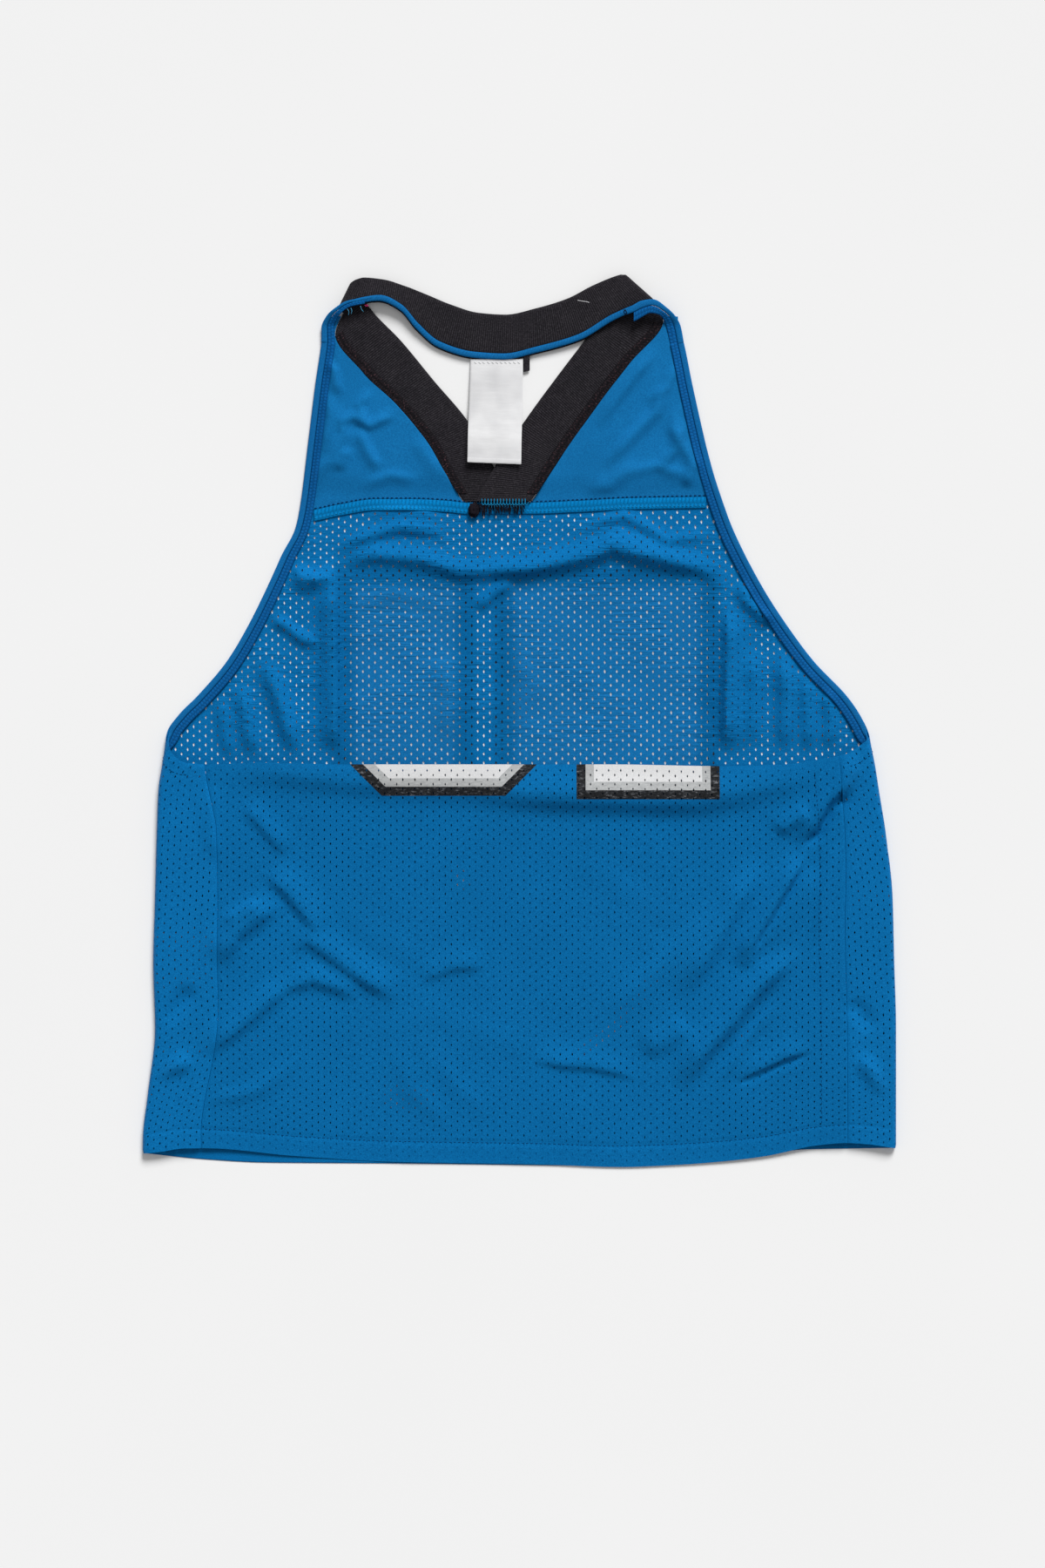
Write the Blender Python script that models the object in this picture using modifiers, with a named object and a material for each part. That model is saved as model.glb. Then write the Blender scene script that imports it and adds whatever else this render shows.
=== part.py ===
"""Halter top made from a mesh football jersey, laid face down on a flat surface.

The front panel lies on the surface. Its side strips turn over the side folds and meet the
low back panel at the side seams. Above the back panel the inside of the front shows: two
smooth yokes, the V of the rib neckband, and the band's back stretch, which turns over at
the shoulders. +X is the garment's right as seen from above, +Y runs up to the neck.

Sizes and tables are in millimetres, and MM turns them into metres.
"""
import math
from collections import namedtuple

import bmesh
import bpy
from mathutils import Vector

MM = 0.001

# Walls and clearances.
CLOTH = 1.0          # panels, yokes, bindings, label
HEM = 1.6            # the doubled cloth of the hems
RIB = 1.8            # the doubled rib of the neckband
ROLL = 1.8           # the rolled strip on the back of the neck
GAP = 0.3            # between sewn pieces, and under what lies on a panel

# Body: rows of the front and of the back panel, by height.
HEM_ROW = -256.0     # the row that becomes the hem edge
HEM_DEPTH = 10.0
HEM_CALM = -200.0    # above this height the rows are straight again
SEAM_ROW = 125.0     # the row that becomes the yoke seam
SEAM_CALM = 90.0
BACK_ROW = -26.0     # the row that becomes the back panel's top edge
BACK_CALM = -70.0
FRONT_COLUMNS = 32
BACK_COLUMNS = 32
EDGE_COLUMNS = 6     # columns of each side strip, past the fold line
BAND_COLUMNS = 4
EDGE_STEP = 0.6      # least width of such a column, where the strip runs out
MIDDLE_RADIUS = 2.0  # half the height of the body away from its side folds
BILLOW = 40.0        # how far a side fold's roundness reaches in

CURVED_GAP = 0.55    # between the yoke and the neckband, whose rows don't meet
BINDING_WIDTH = 7.0
BINDING_INSET = 0.4
BINDING_SHARE = 0.75 # most of the yoke's width that it covers
BINDING_TOP = 228.0
BINDING_END = -2.0
ROLL_WIDTH = 4.0
ROLL_START = 0.08    # the rolled strip's ends, as shares of the band's back stretch
ROLL_END = 0.93
ALLOWANCE = 6.5      # height of the yoke seam's allowance

LEFT, RIGHT = -1, 1

Outline = namedtuple("Outline", "y left right")
OUTLINE = [
    Outline(-260, -216, 216), Outline(-249, -216, 216), Outline(-215, -213, 216),
    Outline(-177, -209, 216), Outline(-140, -210, 215), Outline(-102, -209, 214),
    Outline(-65, -208, 210), Outline(-40, -207, 206), Outline(-27, -205, 204),
    Outline(-17, -203.5, 202), Outline(-7, -202, 200), Outline(3, -195, 195),
    Outline(13, -185, 188), Outline(33, -168, 169), Outline(53, -156, 154),
    Outline(73, -146, 141), Outline(93, -137, 130), Outline(113, -129, 120),
    Outline(133, -125, 113), Outline(153, -122, 108), Outline(193, -117, 99),
    Outline(213, -114, 95), Outline(221, -113, 93), Outline(229, -109, 91),
]

# How far the front's cloth goes on past each fold line, measured along the cloth.
Reach = namedtuple("Reach", "y cloth")
REACH = {
    LEFT: [
        Reach(-260, 38.5), Reach(-230, 38), Reach(-149, 41.5), Reach(-65, 40),
        Reach(-45, 36), Reach(-30, 31.5), Reach(-26, 30), Reach(-25, 19),
        Reach(-23, 15), Reach(-20, 11.5), Reach(-15, 8), Reach(-10, 4.5),
        Reach(-6, 2), Reach(-2, 0.5), Reach(2, 0), Reach(250, 0),
    ],
    RIGHT: [
        Reach(-260, 32.5), Reach(-121, 33), Reach(-65, 29), Reach(-45, 27.5),
        Reach(-26, 26.4), Reach(-21, 26), Reach(-20, 21.5), Reach(-18, 17.5),
        Reach(-15, 12.5), Reach(-12, 8), Reach(-9, 4.5), Reach(-6, 2),
        Reach(-2, 0.5), Reach(2, 0), Reach(250, 0),
    ],
}

# Outer radius of the side folds.
Radius = namedtuple("Radius", "y left right")
FOLD_RADIUS = [
    Radius(-260, 2.3, 2.3), Radius(-200, 2.2, 2.3), Radius(-120, 2.3, 2.4),
    Radius(-50, 2.7, 2.7), Radius(-10, 2.9, 2.9), Radius(250, 2.9, 2.9),
]

Edge = namedtuple("Edge", "x y")
HEM_FRONT = [
    Edge(-216, -249), Edge(-182, -252.5), Edge(-145, -254.5), Edge(-72, -255),
    Edge(12, -256), Edge(58, -256.5), Edge(86, -255), Edge(114, -253),
    Edge(142, -250), Edge(163, -247), Edge(216, -246),
]
HEM_BACK = [
    Edge(-216, -249), Edge(-206, -248), Edge(-192, -246), Edge(-180, -246),
    Edge(-130, -250.5), Edge(-72, -254), Edge(12, -255.5), Edge(58, -257),
    Edge(86, -256), Edge(114, -254), Edge(142, -250.5), Edge(170, -244.5),
    Edge(187, -243), Edge(198, -243.5), Edge(216, -246),
]
BACK_TOP = [
    Edge(-178, -26), Edge(-148, -25), Edge(-98, -26), Edge(52, -26), Edge(117, -27),
    Edge(152, -26), Edge(172, -23), Edge(184, -21),
]
YOKE_SEAM = [
    Edge(-129, 118.5), Edge(-117, 120.5), Edge(-103, 123.5), Edge(-82, 126.5),
    Edge(-62, 126.5), Edge(-41, 125.5), Edge(-31, 124.5), Edge(7, 124.5),
    Edge(33, 125.5), Edge(63, 127), Edge(116, 128),
]

# A soft ridge from (x0, y0) to (x1, y1): bow is how far its middle swings to the left of
# that line, rise its height, and reach how far it spreads to each side.
Fold = namedtuple("Fold", "x0 y0 x1 y1 bow rise reach")
FRONT_FOLDS = [
    Fold(-122, 84, -36, 100, 7, 2.6, 9),
    Fold(-110, 76, 8, 82, -4, 1.8, 9),
    Fold(-4, 84, 128, 74, 9, 2.8, 10),
    Fold(-100, 70, -106, -26, 2, 2.2, 9),
    Fold(-138, 42, -152, -26, -2, 2.0, 9),
    Fold(-162, 20, -168, -26, 0, 1.8, 8),
    Fold(-60, 52, -64, -20, 0, 1.6, 10),
    Fold(22, 56, 16, -18, 0, 1.4, 10),
    Fold(88, 60, 92, -22, -2, 1.8, 9),
    Fold(126, 58, 120, -24, 2, 2.2, 9),
    Fold(148, 36, 152, -24, -3, 2.4, 8),
    Fold(172, 14, 170, -24, 0, 2.0, 8),
    Fold(-66, 206, -44, 134, 3, 1.6, 8),
    Fold(94, 176, 66, 132, -4, 1.8, 9),
]
BACK_FOLDS = [
    Fold(-150, -44, -70, -160, 6, 2.8, 11),
    Fold(-168, -134, -142, -106, 0, 1.8, 9),
    Fold(-132, -148, -16, -138, -9, 2.2, 11),
    Fold(-176, -192, -126, -152, 0, 2.0, 10),
    Fold(-182, -218, -134, -194, 0, 2.0, 10),
    Fold(180, -42, 150, -74, -3, 2.6, 9),
    Fold(166, -74, 122, -142, -3, 2.4, 10),
    Fold(138, -80, 100, -150, -2, 2.2, 11),
    Fold(166, -128, 84, -222, -4, 2.6, 11),
    Fold(170, -186, 116, -206, 2, 2.6, 9),
    Fold(30, -194, 74, -204, 0, 1.6, 10),
    Fold(-150, -30, 150, -30, 0, 1.6, 8),
    Fold(-40, -88, 60, -96, 4, 1.4, 14),
]

# Neckband stretches: the free edge (fx, fy, fz) and the sewn edge (sx, sy, sz) at each
# section. z is the height of the underside on the front and of the top on the back.
Band = namedtuple("Band", "fx fy fz sx sy sz")
BAND_LEFT = [
    Band(-5, 127.2, 0, -32.5, 127.2, 0), Band(-15.5, 146, 0, -43, 142, 0),
    Band(-29, 170, 0, -52, 158, 0), Band(-49, 194, 0, -70, 180, 0),
    Band(-68, 217, 0, -90, 199.5, 0), Band(-86, 236, 0, -104, 219, 0),
]
BAND_RIGHT = [
    Band(-24, 127.2, 2.6, 7, 127.2, 2), Band(-14, 145, 2.5, 16, 139, 0.4),
    Band(3, 171, 0.2, 26, 154, 0), Band(22, 197, 0, 43, 178, 0),
    Band(41, 222, 0, 63, 204, 0), Band(54, 240, 0, 78, 224, 0),
]
BAND_BACK = [
    Band(-89, 253, 5.6, -93, 240, 8), Band(-78, 252, 5.6, -80, 242, 10),
    Band(-66, 248.5, 4.6, -68, 237, 8.5), Band(-52, 243, 3.4, -58, 226, 6),
    Band(-40, 238, 2.6, -46, 216, 3.4), Band(-23, 233, 2.2, -26, 210, 2.4),
    Band(-8, 232, 2.2, -9, 209, 2.4), Band(9, 235.5, 2.3, 10, 213, 2.6),
    Band(27, 241, 3, 34, 220, 3.8), Band(43, 249, 4.4, 54, 231.5, 6),
]

# Shoulder folds: the outermost line of the turn, and the radius at each of its ends.
Shoulder = namedtuple("Shoulder", "fx fy f_radius sx sy s_radius")
SHOULDER_LEFT = Shoulder(-97.3, 251.8, 2.5, -105.3, 234.8, 3.2)
SHOULDER_RIGHT = Shoulder(59.5, 255.8, 2.5, 79, 240, 3.2)
TURN_STEPS = 5
TURN_LEAD = 3.0      # flat stretch before the turn
HALVINGS = 16        # steps of the search for a height on the band's edge
BAND_ROW = 5.0       # longest step between the band's rows

Label = namedtuple("Label", "y left right z")
LABEL = [
    Label(147, -30, 1, 4.8), Label(160, -29.6, 1.2, 3.9), Label(173, -29.2, 1.5, 2.3),
    Label(190, -28.5, 1.8, 1.1), Label(204.7, -28, 2, 0.4),
]

BACK_ROWS = (
    [HEM_ROW, HEM_ROW + HEM_DEPTH, HEM_ROW + 2 * HEM_DEPTH]
    + [-222 + 14 * step for step in range(14)]
    + [-33, BACK_ROW]
)
FRONT_ROWS = (
    BACK_ROWS[:3]
    + [-222 + 28 * step for step in range(7)]
    + [-40, -33]
    + [-26, -25, -23, -20, -16, -12, -8, -4, 2]
    + [10 + 8 * step for step in range(14)]
    + [SEAM_ROW]
)

Finish = namedtuple("Finish", "colour roughness")
MESH_BLUE = Finish((0.006, 0.147, 0.456, 1), 0.75)
KNIT_BLUE = Finish((0.007, 0.165, 0.5, 1), 0.7)
BINDING_BLUE = Finish((0.006, 0.13, 0.44, 1), 0.8)
RIB_BLACK = Finish((0.011, 0.011, 0.013, 1), 0.85)
SATIN_WHITE = Finish((0.78, 0.78, 0.79, 1), 0.45)


def ease(t):
    """0 below 0, 1 above 1, and a smooth step between."""
    t = min(1.0, max(0.0, t))
    return t * t * (3 - 2 * t)


def mix(a, b, t):
    return a + (b - a) * t


def slopes(keys, values):
    """Slopes of a smooth curve through the values that never overshoots them."""
    steps = [
        (values[i + 1] - values[i]) / (keys[i + 1] - keys[i]) for i in range(len(keys) - 1)
    ]
    inner = [
        2 * a * b / (a + b) if a * b > 0 else 0.0 for a, b in zip(steps, steps[1:])
    ]
    return [steps[0]] + inner + [steps[-1]]


def smooth(keys, values, at):
    """The value at a key, on that curve. The ends stay level."""
    if at <= keys[0]:
        return values[0]
    if at >= keys[-1]:
        return values[-1]
    i = next(n for n in range(len(keys) - 1) if at <= keys[n + 1])
    width = keys[i + 1] - keys[i]
    t = (at - keys[i]) / width
    tangent = slopes(keys, values)
    return (
        (2 * t**3 - 3 * t**2 + 1) * values[i]
        + (t**3 - 2 * t**2 + t) * width * tangent[i]
        + (3 * t**2 - 2 * t**3) * values[i + 1]
        + (t**3 - t**2) * width * tangent[i + 1]
    )


def read(table, column, at):
    """A column of a table, at a value of its first column."""
    keys = [row[0] for row in table]
    return smooth(keys, [getattr(row, column) for row in table], at)


def outline(side, y):
    return read(OUTLINE, "left" if side == LEFT else "right", y)


def fold_radius(side, y):
    return read(FOLD_RADIUS, "left" if side == LEFT else "right", y)


def fold_start(side, y):
    """Where the front leaves the surface to turn over the side fold."""
    radius = fold_radius(side, y)
    turn = min(read(REACH[side], "cloth", y) / radius, math.pi / 2)
    return outline(side, y) - side * radius * math.sin(turn)


def side_seam(side, y):
    """Where the front's side strip ends on the back."""
    strip = read(REACH[side], "cloth", y) - math.pi * fold_radius(side, y)
    return fold_start(side, y) - side * strip


def fold_rise(folds, x, y):
    """Height of all the ridges of a table at one place."""
    total = 0.0
    for fold in folds:
        along = Vector((fold.x1 - fold.x0, fold.y1 - fold.y0))
        place = Vector((x - fold.x0, y - fold.y0))
        t = place.dot(along) / along.length_squared
        if 0 < t < 1:
            across = along.cross(place) / along.length - 4 * fold.bow * t * (1 - t)
            ends = ease(t / 0.25) * ease((1 - t) / 0.25)
            total += fold.rise * ends * math.exp(-((across / fold.reach) ** 2))
    return total


def front_bottom(x, y):
    """Height of the underside of the front, which is flat where the back lies on it."""
    if y < BACK_ROW:
        return 0.0
    inside = min(x - outline(LEFT, y), outline(RIGHT, y) - x)
    calm = ease((y - BACK_ROW) / 25) * ease((inside - 4) / 10)
    return calm * fold_rise(FRONT_FOLDS, x, y)


def back_top(x, y):
    """Height of the top of the back, side strips included."""
    left = x - fold_start(LEFT, y)
    right = fold_start(RIGHT, y) - x
    radius = (
        MIDDLE_RADIUS
        + (fold_radius(LEFT, y) - MIDDLE_RADIUS) * math.exp(-max(left, 0) / BILLOW)
        + (fold_radius(RIGHT, y) - MIDDLE_RADIUS) * math.exp(-max(right, 0) / BILLOW)
    )
    return 2 * radius + ease(min(left, right) / 16) * fold_rise(BACK_FOLDS, x, y)


def hem_height(table, x, y):
    """Height of a row's point at x, bent to the hem edge near the hem."""
    bend = 1 - ease((y - HEM_ROW) / (HEM_CALM - HEM_ROW))
    return y + bend * (read(table, "y", x) - HEM_ROW)


def front_height(x, y):
    bend = ease((y - SEAM_CALM) / (SEAM_ROW - SEAM_CALM))
    return hem_height(HEM_FRONT, x, y) + bend * (read(YOKE_SEAM, "y", x) - SEAM_ROW)


def back_height(x, y):
    bend = ease((y - BACK_CALM) / (BACK_ROW - BACK_CALM))
    return hem_height(HEM_BACK, x, y) + bend * (read(BACK_TOP, "y", x) - BACK_ROW)


def side_point(side, y, s):
    """A point of the front's outer face, s along the cloth past the start of the fold."""
    radius = fold_radius(side, y)
    start = fold_start(side, y)
    turn = s / radius
    if turn <= 0:
        x = start + side * s
        return Vector((x, front_height(x, y), front_bottom(x, y)))
    if turn < math.pi:
        x = start + side * radius * math.sin(turn)
        z = radius * (1 - math.cos(turn))
    else:
        x = start - side * (s - math.pi * radius)
        z = back_top(x, y)
    over = ease(turn / math.pi)
    low = mix(hem_height(HEM_FRONT, x, y), hem_height(HEM_BACK, x, y), over)
    return Vector((x, low, z))


def strip_places(side, y):
    """Places of the columns of one side strip, from the fold's start to its edge."""
    cloth = read(REACH[side], "cloth", y)
    arc = math.pi * fold_radius(side, y)
    wanted = [arc * step / 4 for step in range(5)] + [mix(arc, cloth, 0.5), cloth]
    return [
        min(place, cloth - (EDGE_COLUMNS - step) * EDGE_STEP)
        for step, place in enumerate(wanted)
    ]


def front_point(column, row):
    """Outer face of the front panel at a column and a row of its grid."""
    y = FRONT_ROWS[row]
    last = FRONT_COLUMNS + 2 * EDGE_COLUMNS
    if column <= EDGE_COLUMNS:
        return side_point(LEFT, y, strip_places(LEFT, y)[EDGE_COLUMNS - column])
    if column >= last - EDGE_COLUMNS:
        return side_point(RIGHT, y, strip_places(RIGHT, y)[column - last + EDGE_COLUMNS])
    left = fold_start(LEFT, y) - LEFT * -strip_places(LEFT, y)[0]
    right = fold_start(RIGHT, y) - RIGHT * -strip_places(RIGHT, y)[0]
    x = mix(left, right, (column - EDGE_COLUMNS) / FRONT_COLUMNS)
    return Vector((x, front_height(x, y), front_bottom(x, y)))


def back_point(column, row):
    """Outer face of the back panel, between the side seams."""
    y = BACK_ROWS[row]
    left, right = [
        side_seam(side, back_height(side_seam(side, y), y)) - side * GAP
        for side in (LEFT, RIGHT)
    ]
    x = mix(left, right, column / BACK_COLUMNS)
    return Vector((x, back_height(x, y), back_top(x, y)))


def shoulder_outward(shoulder, side):
    line = Vector((shoulder.sx - shoulder.fx, shoulder.sy - shoulder.fy)).normalized()
    return Vector((-line.y, line.x)) * side


def shoulder_section(shoulder, side, angle, lead):
    """Section of the band at an angle of its turn, or at a lead before the turn."""
    outward = shoulder_outward(shoulder, side)
    values = []
    for x, y, radius in (shoulder[:3], shoulder[3:]):
        back = radius * (1 - math.sin(angle)) + lead
        values += [x - outward.x * back, y - outward.y * back]
        values.append(radius * (1 - math.cos(angle)))
    return Band(*values)


def shoulder_turn(shoulder, side):
    """Sections of the band round a shoulder fold, from under it to on top of it."""
    angles = [math.pi * step / (TURN_STEPS - 1) for step in range(TURN_STEPS)]
    turn = [shoulder_section(shoulder, side, angle, 0) for angle in angles]
    return [shoulder_section(shoulder, side, 0, TURN_LEAD)] + turn


def front_stretch(sections, shoulder, side):
    """A front stretch, which ends a seam's gap before the turn's lead."""
    return sections + [shoulder_section(shoulder, side, 0, TURN_LEAD + GAP)]


def distances(sections):
    """Distance of each section along the band's middle."""
    far = [0.0]
    for a, b in zip(sections, sections[1:]):
        step = [(a[i] + a[i + 3] - b[i] - b[i + 3]) / 2 for i in range(3)]
        far.append(far[-1] + Vector(step).length)
    return far


def row_shares(sections):
    """Shares of the band's length for its rows: each section, and rows between them."""
    far = distances(sections)
    shares = [0.0]
    for near, end in zip(far, far[1:]):
        steps = math.ceil((end - near) / BAND_ROW)
        shares += [mix(near, end, (step + 1) / steps) / far[-1] for step in range(steps)]
    return shares


def band_at(sections, share):
    """Section of a neckband stretch at a share of its length."""
    far = distances(sections)
    at = share * far[-1]
    return Band(*(smooth(far, [row[i] for row in sections], at) for i in range(6)))


def band_point(sections, across, along):
    band = band_at(sections, along)
    free = Vector((band.fx, band.fy, band.fz))
    sewn = Vector((band.sx, band.sy, band.sz))
    return free.lerp(sewn, across)


def sewn_edge(sections, y):
    """x of the band's sewn edge at a height, which is the yoke's edge too."""
    low, high = 0.0, 1.0
    for _ in range(HALVINGS):
        middle = (low + high) / 2
        if band_at(sections, middle).sy < y:
            low = middle
        else:
            high = middle
    return band_at(sections, low).sx


def yoke_point(side, sections, across, along):
    """A yoke between the armhole and the neckband, from the yoke seam up."""
    y = mix(SEAM_ROW, BINDING_TOP, along)
    arm = outline(side, y)
    neck = sewn_edge(sections, y) + side * CURVED_GAP
    x = mix(arm, neck, across)
    bend = 1 - ease((y - SEAM_ROW) / (SEAM_ROW - SEAM_CALM))
    y += bend * (read(YOKE_SEAM, "y", x) + GAP - SEAM_ROW)
    return Vector((x, y, front_bottom(x, y)))


def binding_width(side, sections, y):
    """Width of the binding, which narrows where the neckband comes close."""
    if y < SEAM_ROW:
        return BINDING_WIDTH
    room = abs(sewn_edge(sections, y) - outline(side, y)) - BINDING_INSET - 2 * GAP
    return min(BINDING_WIDTH, BINDING_SHARE * room)


def armhole_point(side, sections, across, along):
    """A binding's point on the inside of the armhole's margin."""
    y = mix(BINDING_TOP, BINDING_END, along)
    here, there = [
        Vector((side * (fold_start(side, at) * side + read(REACH[side], "cloth", at)), at))
        for at in (y, y - 0.5)
    ]
    run = (there - here).normalized()
    inward = Vector((run.y, -run.x)) * side
    flat = here + inward * (BINDING_INSET + binding_width(side, sections, y) * across)
    on_panel = side_point(side, flat.y, side * (flat.x - fold_start(side, flat.y)))
    turn = side * (flat.x - fold_start(side, flat.y)) / fold_radius(side, flat.y)
    turn = min(math.pi, max(0.0, turn))
    inside = Vector((-side * math.sin(turn), 0, math.cos(turn)))
    return on_panel + inside * (CLOTH + GAP)


def roll_point(sections, across, along):
    """The rolled strip along the sewn edge of the band's back stretch."""
    band = band_at(sections, mix(ROLL_START, ROLL_END, along))
    sewn = Vector((band.sx, band.sy, band.sz))
    out = (sewn - Vector((band.fx, band.fy, band.fz))).normalized()
    crown = Vector((0, 0, 0.5 * math.sin(math.pi * across)))
    return sewn + out * (GAP + ROLL_WIDTH * across) + crown


def allowance_point(across, along):
    """The yoke seam's allowance, turned down on the inside of the front."""
    left = outline(LEFT, SEAM_ROW) + BINDING_INSET + BINDING_WIDTH + GAP + 1
    right = outline(RIGHT, SEAM_ROW) - BINDING_INSET - BINDING_WIDTH - GAP - 1
    x = mix(left, right, along)
    y = read(YOKE_SEAM, "y", x) - 0.5 - ALLOWANCE * across
    return Vector((x, y, front_bottom(x, y) + CLOTH + GAP))


def label_point(across, along):
    y = mix(LABEL[0].y, LABEL[-1].y, along)
    x = mix(read(LABEL, "left", y), read(LABEL, "right", y), across)
    return Vector((x, y, read(LABEL, "z", y)))


def make_material(name, finish):
    material = bpy.data.materials.new(name)
    material.use_nodes = True
    shader = material.node_tree.nodes["Principled BSDF"]
    shader.inputs["Base Color"].default_value = finish.colour
    shader.inputs["Roughness"].default_value = finish.roughness
    shader.inputs["Metallic"].default_value = 0
    return material


def make_sheet(name, finish, columns, rows, place, wall, grows, thick_rows=()):
    """An open surface of columns by rows cells, thickened along its normal or against it.

    place gives the point of a column and a row. grows is 1 where the wall grows along the
    normal and -1 where it grows against it. thick_rows are the hem's rows.
    """
    cage = bmesh.new()
    bmesh.ops.create_grid(cage, x_segments=columns, y_segments=rows, size=1)
    hem = []
    for vertex in cage.verts:
        column = round((vertex.co.x + 1) / 2 * columns)
        row = round((vertex.co.y + 1) / 2 * rows)
        if row in thick_rows:
            hem.append(vertex.index)
        vertex.co = place(column, row) * MM
    mesh = bpy.data.meshes.new(name)
    cage.to_mesh(mesh)
    cage.free()
    mesh.shade_smooth()
    mesh.materials.append(make_material(name, finish))
    sheet = bpy.data.objects.new(name, mesh)
    garment.objects.link(sheet)
    solid = sheet.modifiers.new("Wall", "SOLIDIFY")
    solid.thickness = wall * MM
    solid.offset = grows
    solid.use_even_offset = True
    if thick_rows:
        weights = sheet.vertex_groups.new(name="hem")
        weights.add(hem, 1.0, "REPLACE")
        solid.thickness = HEM * MM
        solid.vertex_group = "hem"
        solid.thickness_vertex_group = wall / HEM
    return sheet


def make_strip(name, finish, columns, rows, point, wall, grows):
    """A sheet whose point is given by its shares across and along the strip."""

    def place(column, row):
        return point(column / columns, row / rows)

    return make_sheet(name, finish, columns, rows, place, wall, grows)


def make_panels():
    make_sheet(
        "front_panel", MESH_BLUE, FRONT_COLUMNS + 2 * EDGE_COLUMNS, len(FRONT_ROWS) - 1,
        front_point, CLOTH, 1, thick_rows=(0, 1),
    )
    make_sheet(
        "back_panel", MESH_BLUE, BACK_COLUMNS, len(BACK_ROWS) - 1,
        back_point, CLOTH, -1, thick_rows=(0, 1),
    )


def make_yokes(left, right):
    def left_yoke(across, along):
        return yoke_point(LEFT, left, across, along)

    def right_yoke(across, along):
        return yoke_point(RIGHT, right, 1 - across, along)

    make_strip("yoke_left", KNIT_BLUE, 9, 22, left_yoke, CLOTH, 1)
    make_strip("yoke_right", KNIT_BLUE, 9, 22, right_yoke, CLOTH, 1)
    make_strip("yoke_seam", KNIT_BLUE, 2, 30, lambda a, t: allowance_point(1 - t, a), CLOTH, 1)


def make_band(name, sections, free_first):
    """A neckband stretch, with a row at each of its sections."""
    shares = row_shares(sections)

    def place(column, row):
        across = column / BAND_COLUMNS
        return band_point(sections, across if free_first else 1 - across, shares[row])

    make_sheet(name, RIB_BLACK, BAND_COLUMNS, len(shares) - 1, place, RIB, 1)


def make_neckband(left, right):
    over_left = shoulder_turn(SHOULDER_LEFT, LEFT)
    over_right = shoulder_turn(SHOULDER_RIGHT, RIGHT)
    back = over_left + BAND_BACK + over_right[::-1]
    make_band("collar_left", left, free_first=False)
    make_band("collar_right", right, free_first=True)
    make_band("collar_back", back, free_first=False)
    make_strip(
        "binding_neck", BINDING_BLUE, 3, 36, lambda a, t: roll_point(back, a, t), ROLL, -1
    )


def make_bindings(left, right):
    make_strip(
        "binding_armhole_left", BINDING_BLUE, 2, 48,
        lambda a, t: armhole_point(LEFT, left, a, 1 - t), CLOTH, 1,
    )
    make_strip(
        "binding_armhole_right", BINDING_BLUE, 2, 48,
        lambda a, t: armhole_point(RIGHT, right, 1 - a, 1 - t), CLOTH, 1,
    )


def make_label():
    make_strip("care_label", SATIN_WHITE, 4, 12, label_point, CLOTH, 1)


for old in list(bpy.data.objects):
    bpy.data.objects.remove(old, do_unlink=True)
garment = bpy.data.collections.new("halter_top")
bpy.context.scene.collection.children.link(garment)
front_left = front_stretch(BAND_LEFT, SHOULDER_LEFT, LEFT)
front_right = front_stretch(BAND_RIGHT, SHOULDER_RIGHT, RIGHT)
make_panels()
make_yokes(front_left, front_right)
make_neckband(front_left, front_right)
make_bindings(front_left, front_right)
make_label()
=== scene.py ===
"""Halter top cut down from a mesh football jersey, laid face down on a pale floor.

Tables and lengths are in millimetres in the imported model's frame, and MM turns them into
metres. u and v are places on the flat cloth of a piece: v is the height of its row and u
runs across it, on past the side folds where the front wraps round onto the back.
"""

import math
from collections import namedtuple

import bpy
import numpy as np
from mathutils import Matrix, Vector, noise
from mathutils.geometry import delaunay_2d_cdt


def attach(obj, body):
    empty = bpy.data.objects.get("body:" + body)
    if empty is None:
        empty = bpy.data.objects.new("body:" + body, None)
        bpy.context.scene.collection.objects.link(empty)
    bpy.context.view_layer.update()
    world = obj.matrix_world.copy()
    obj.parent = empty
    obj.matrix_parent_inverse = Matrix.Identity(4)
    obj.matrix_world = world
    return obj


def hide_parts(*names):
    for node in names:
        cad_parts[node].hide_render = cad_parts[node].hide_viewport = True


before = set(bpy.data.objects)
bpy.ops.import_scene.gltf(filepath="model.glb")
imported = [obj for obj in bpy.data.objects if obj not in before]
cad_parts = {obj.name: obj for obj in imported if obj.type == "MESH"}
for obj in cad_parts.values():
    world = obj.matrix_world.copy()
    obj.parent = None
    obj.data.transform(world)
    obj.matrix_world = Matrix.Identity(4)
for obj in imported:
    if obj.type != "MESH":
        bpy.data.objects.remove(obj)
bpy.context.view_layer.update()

MM = 0.001
LEFT, RIGHT = -1, 1
SIDES = ((LEFT, "left"), (RIGHT, "right"))

# ---------------------------------------------------------------- sizes

MESH_WALL = 0.26
KNIT_WALL = 0.6
RIB_WALL = 1.8
FLOOR_GAP = 0.1       # the front's outer face over the floor, where prints lie under it
HOLE_COLUMN = 3.47    # between the columns of holes
HOLE_STEP = 5.25      # between the holes of a column
FRONT_HOLE = (0.62, 1.15)  # half sizes of a hole, where the cloth is pulled flat
BACK_HOLE = (0.44, 0.94)
FRONT_SLIP, BACK_SLIP = (0.4, 1.1), (-0.9, -0.6)  # how far each lattice of holes is slipped

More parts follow.
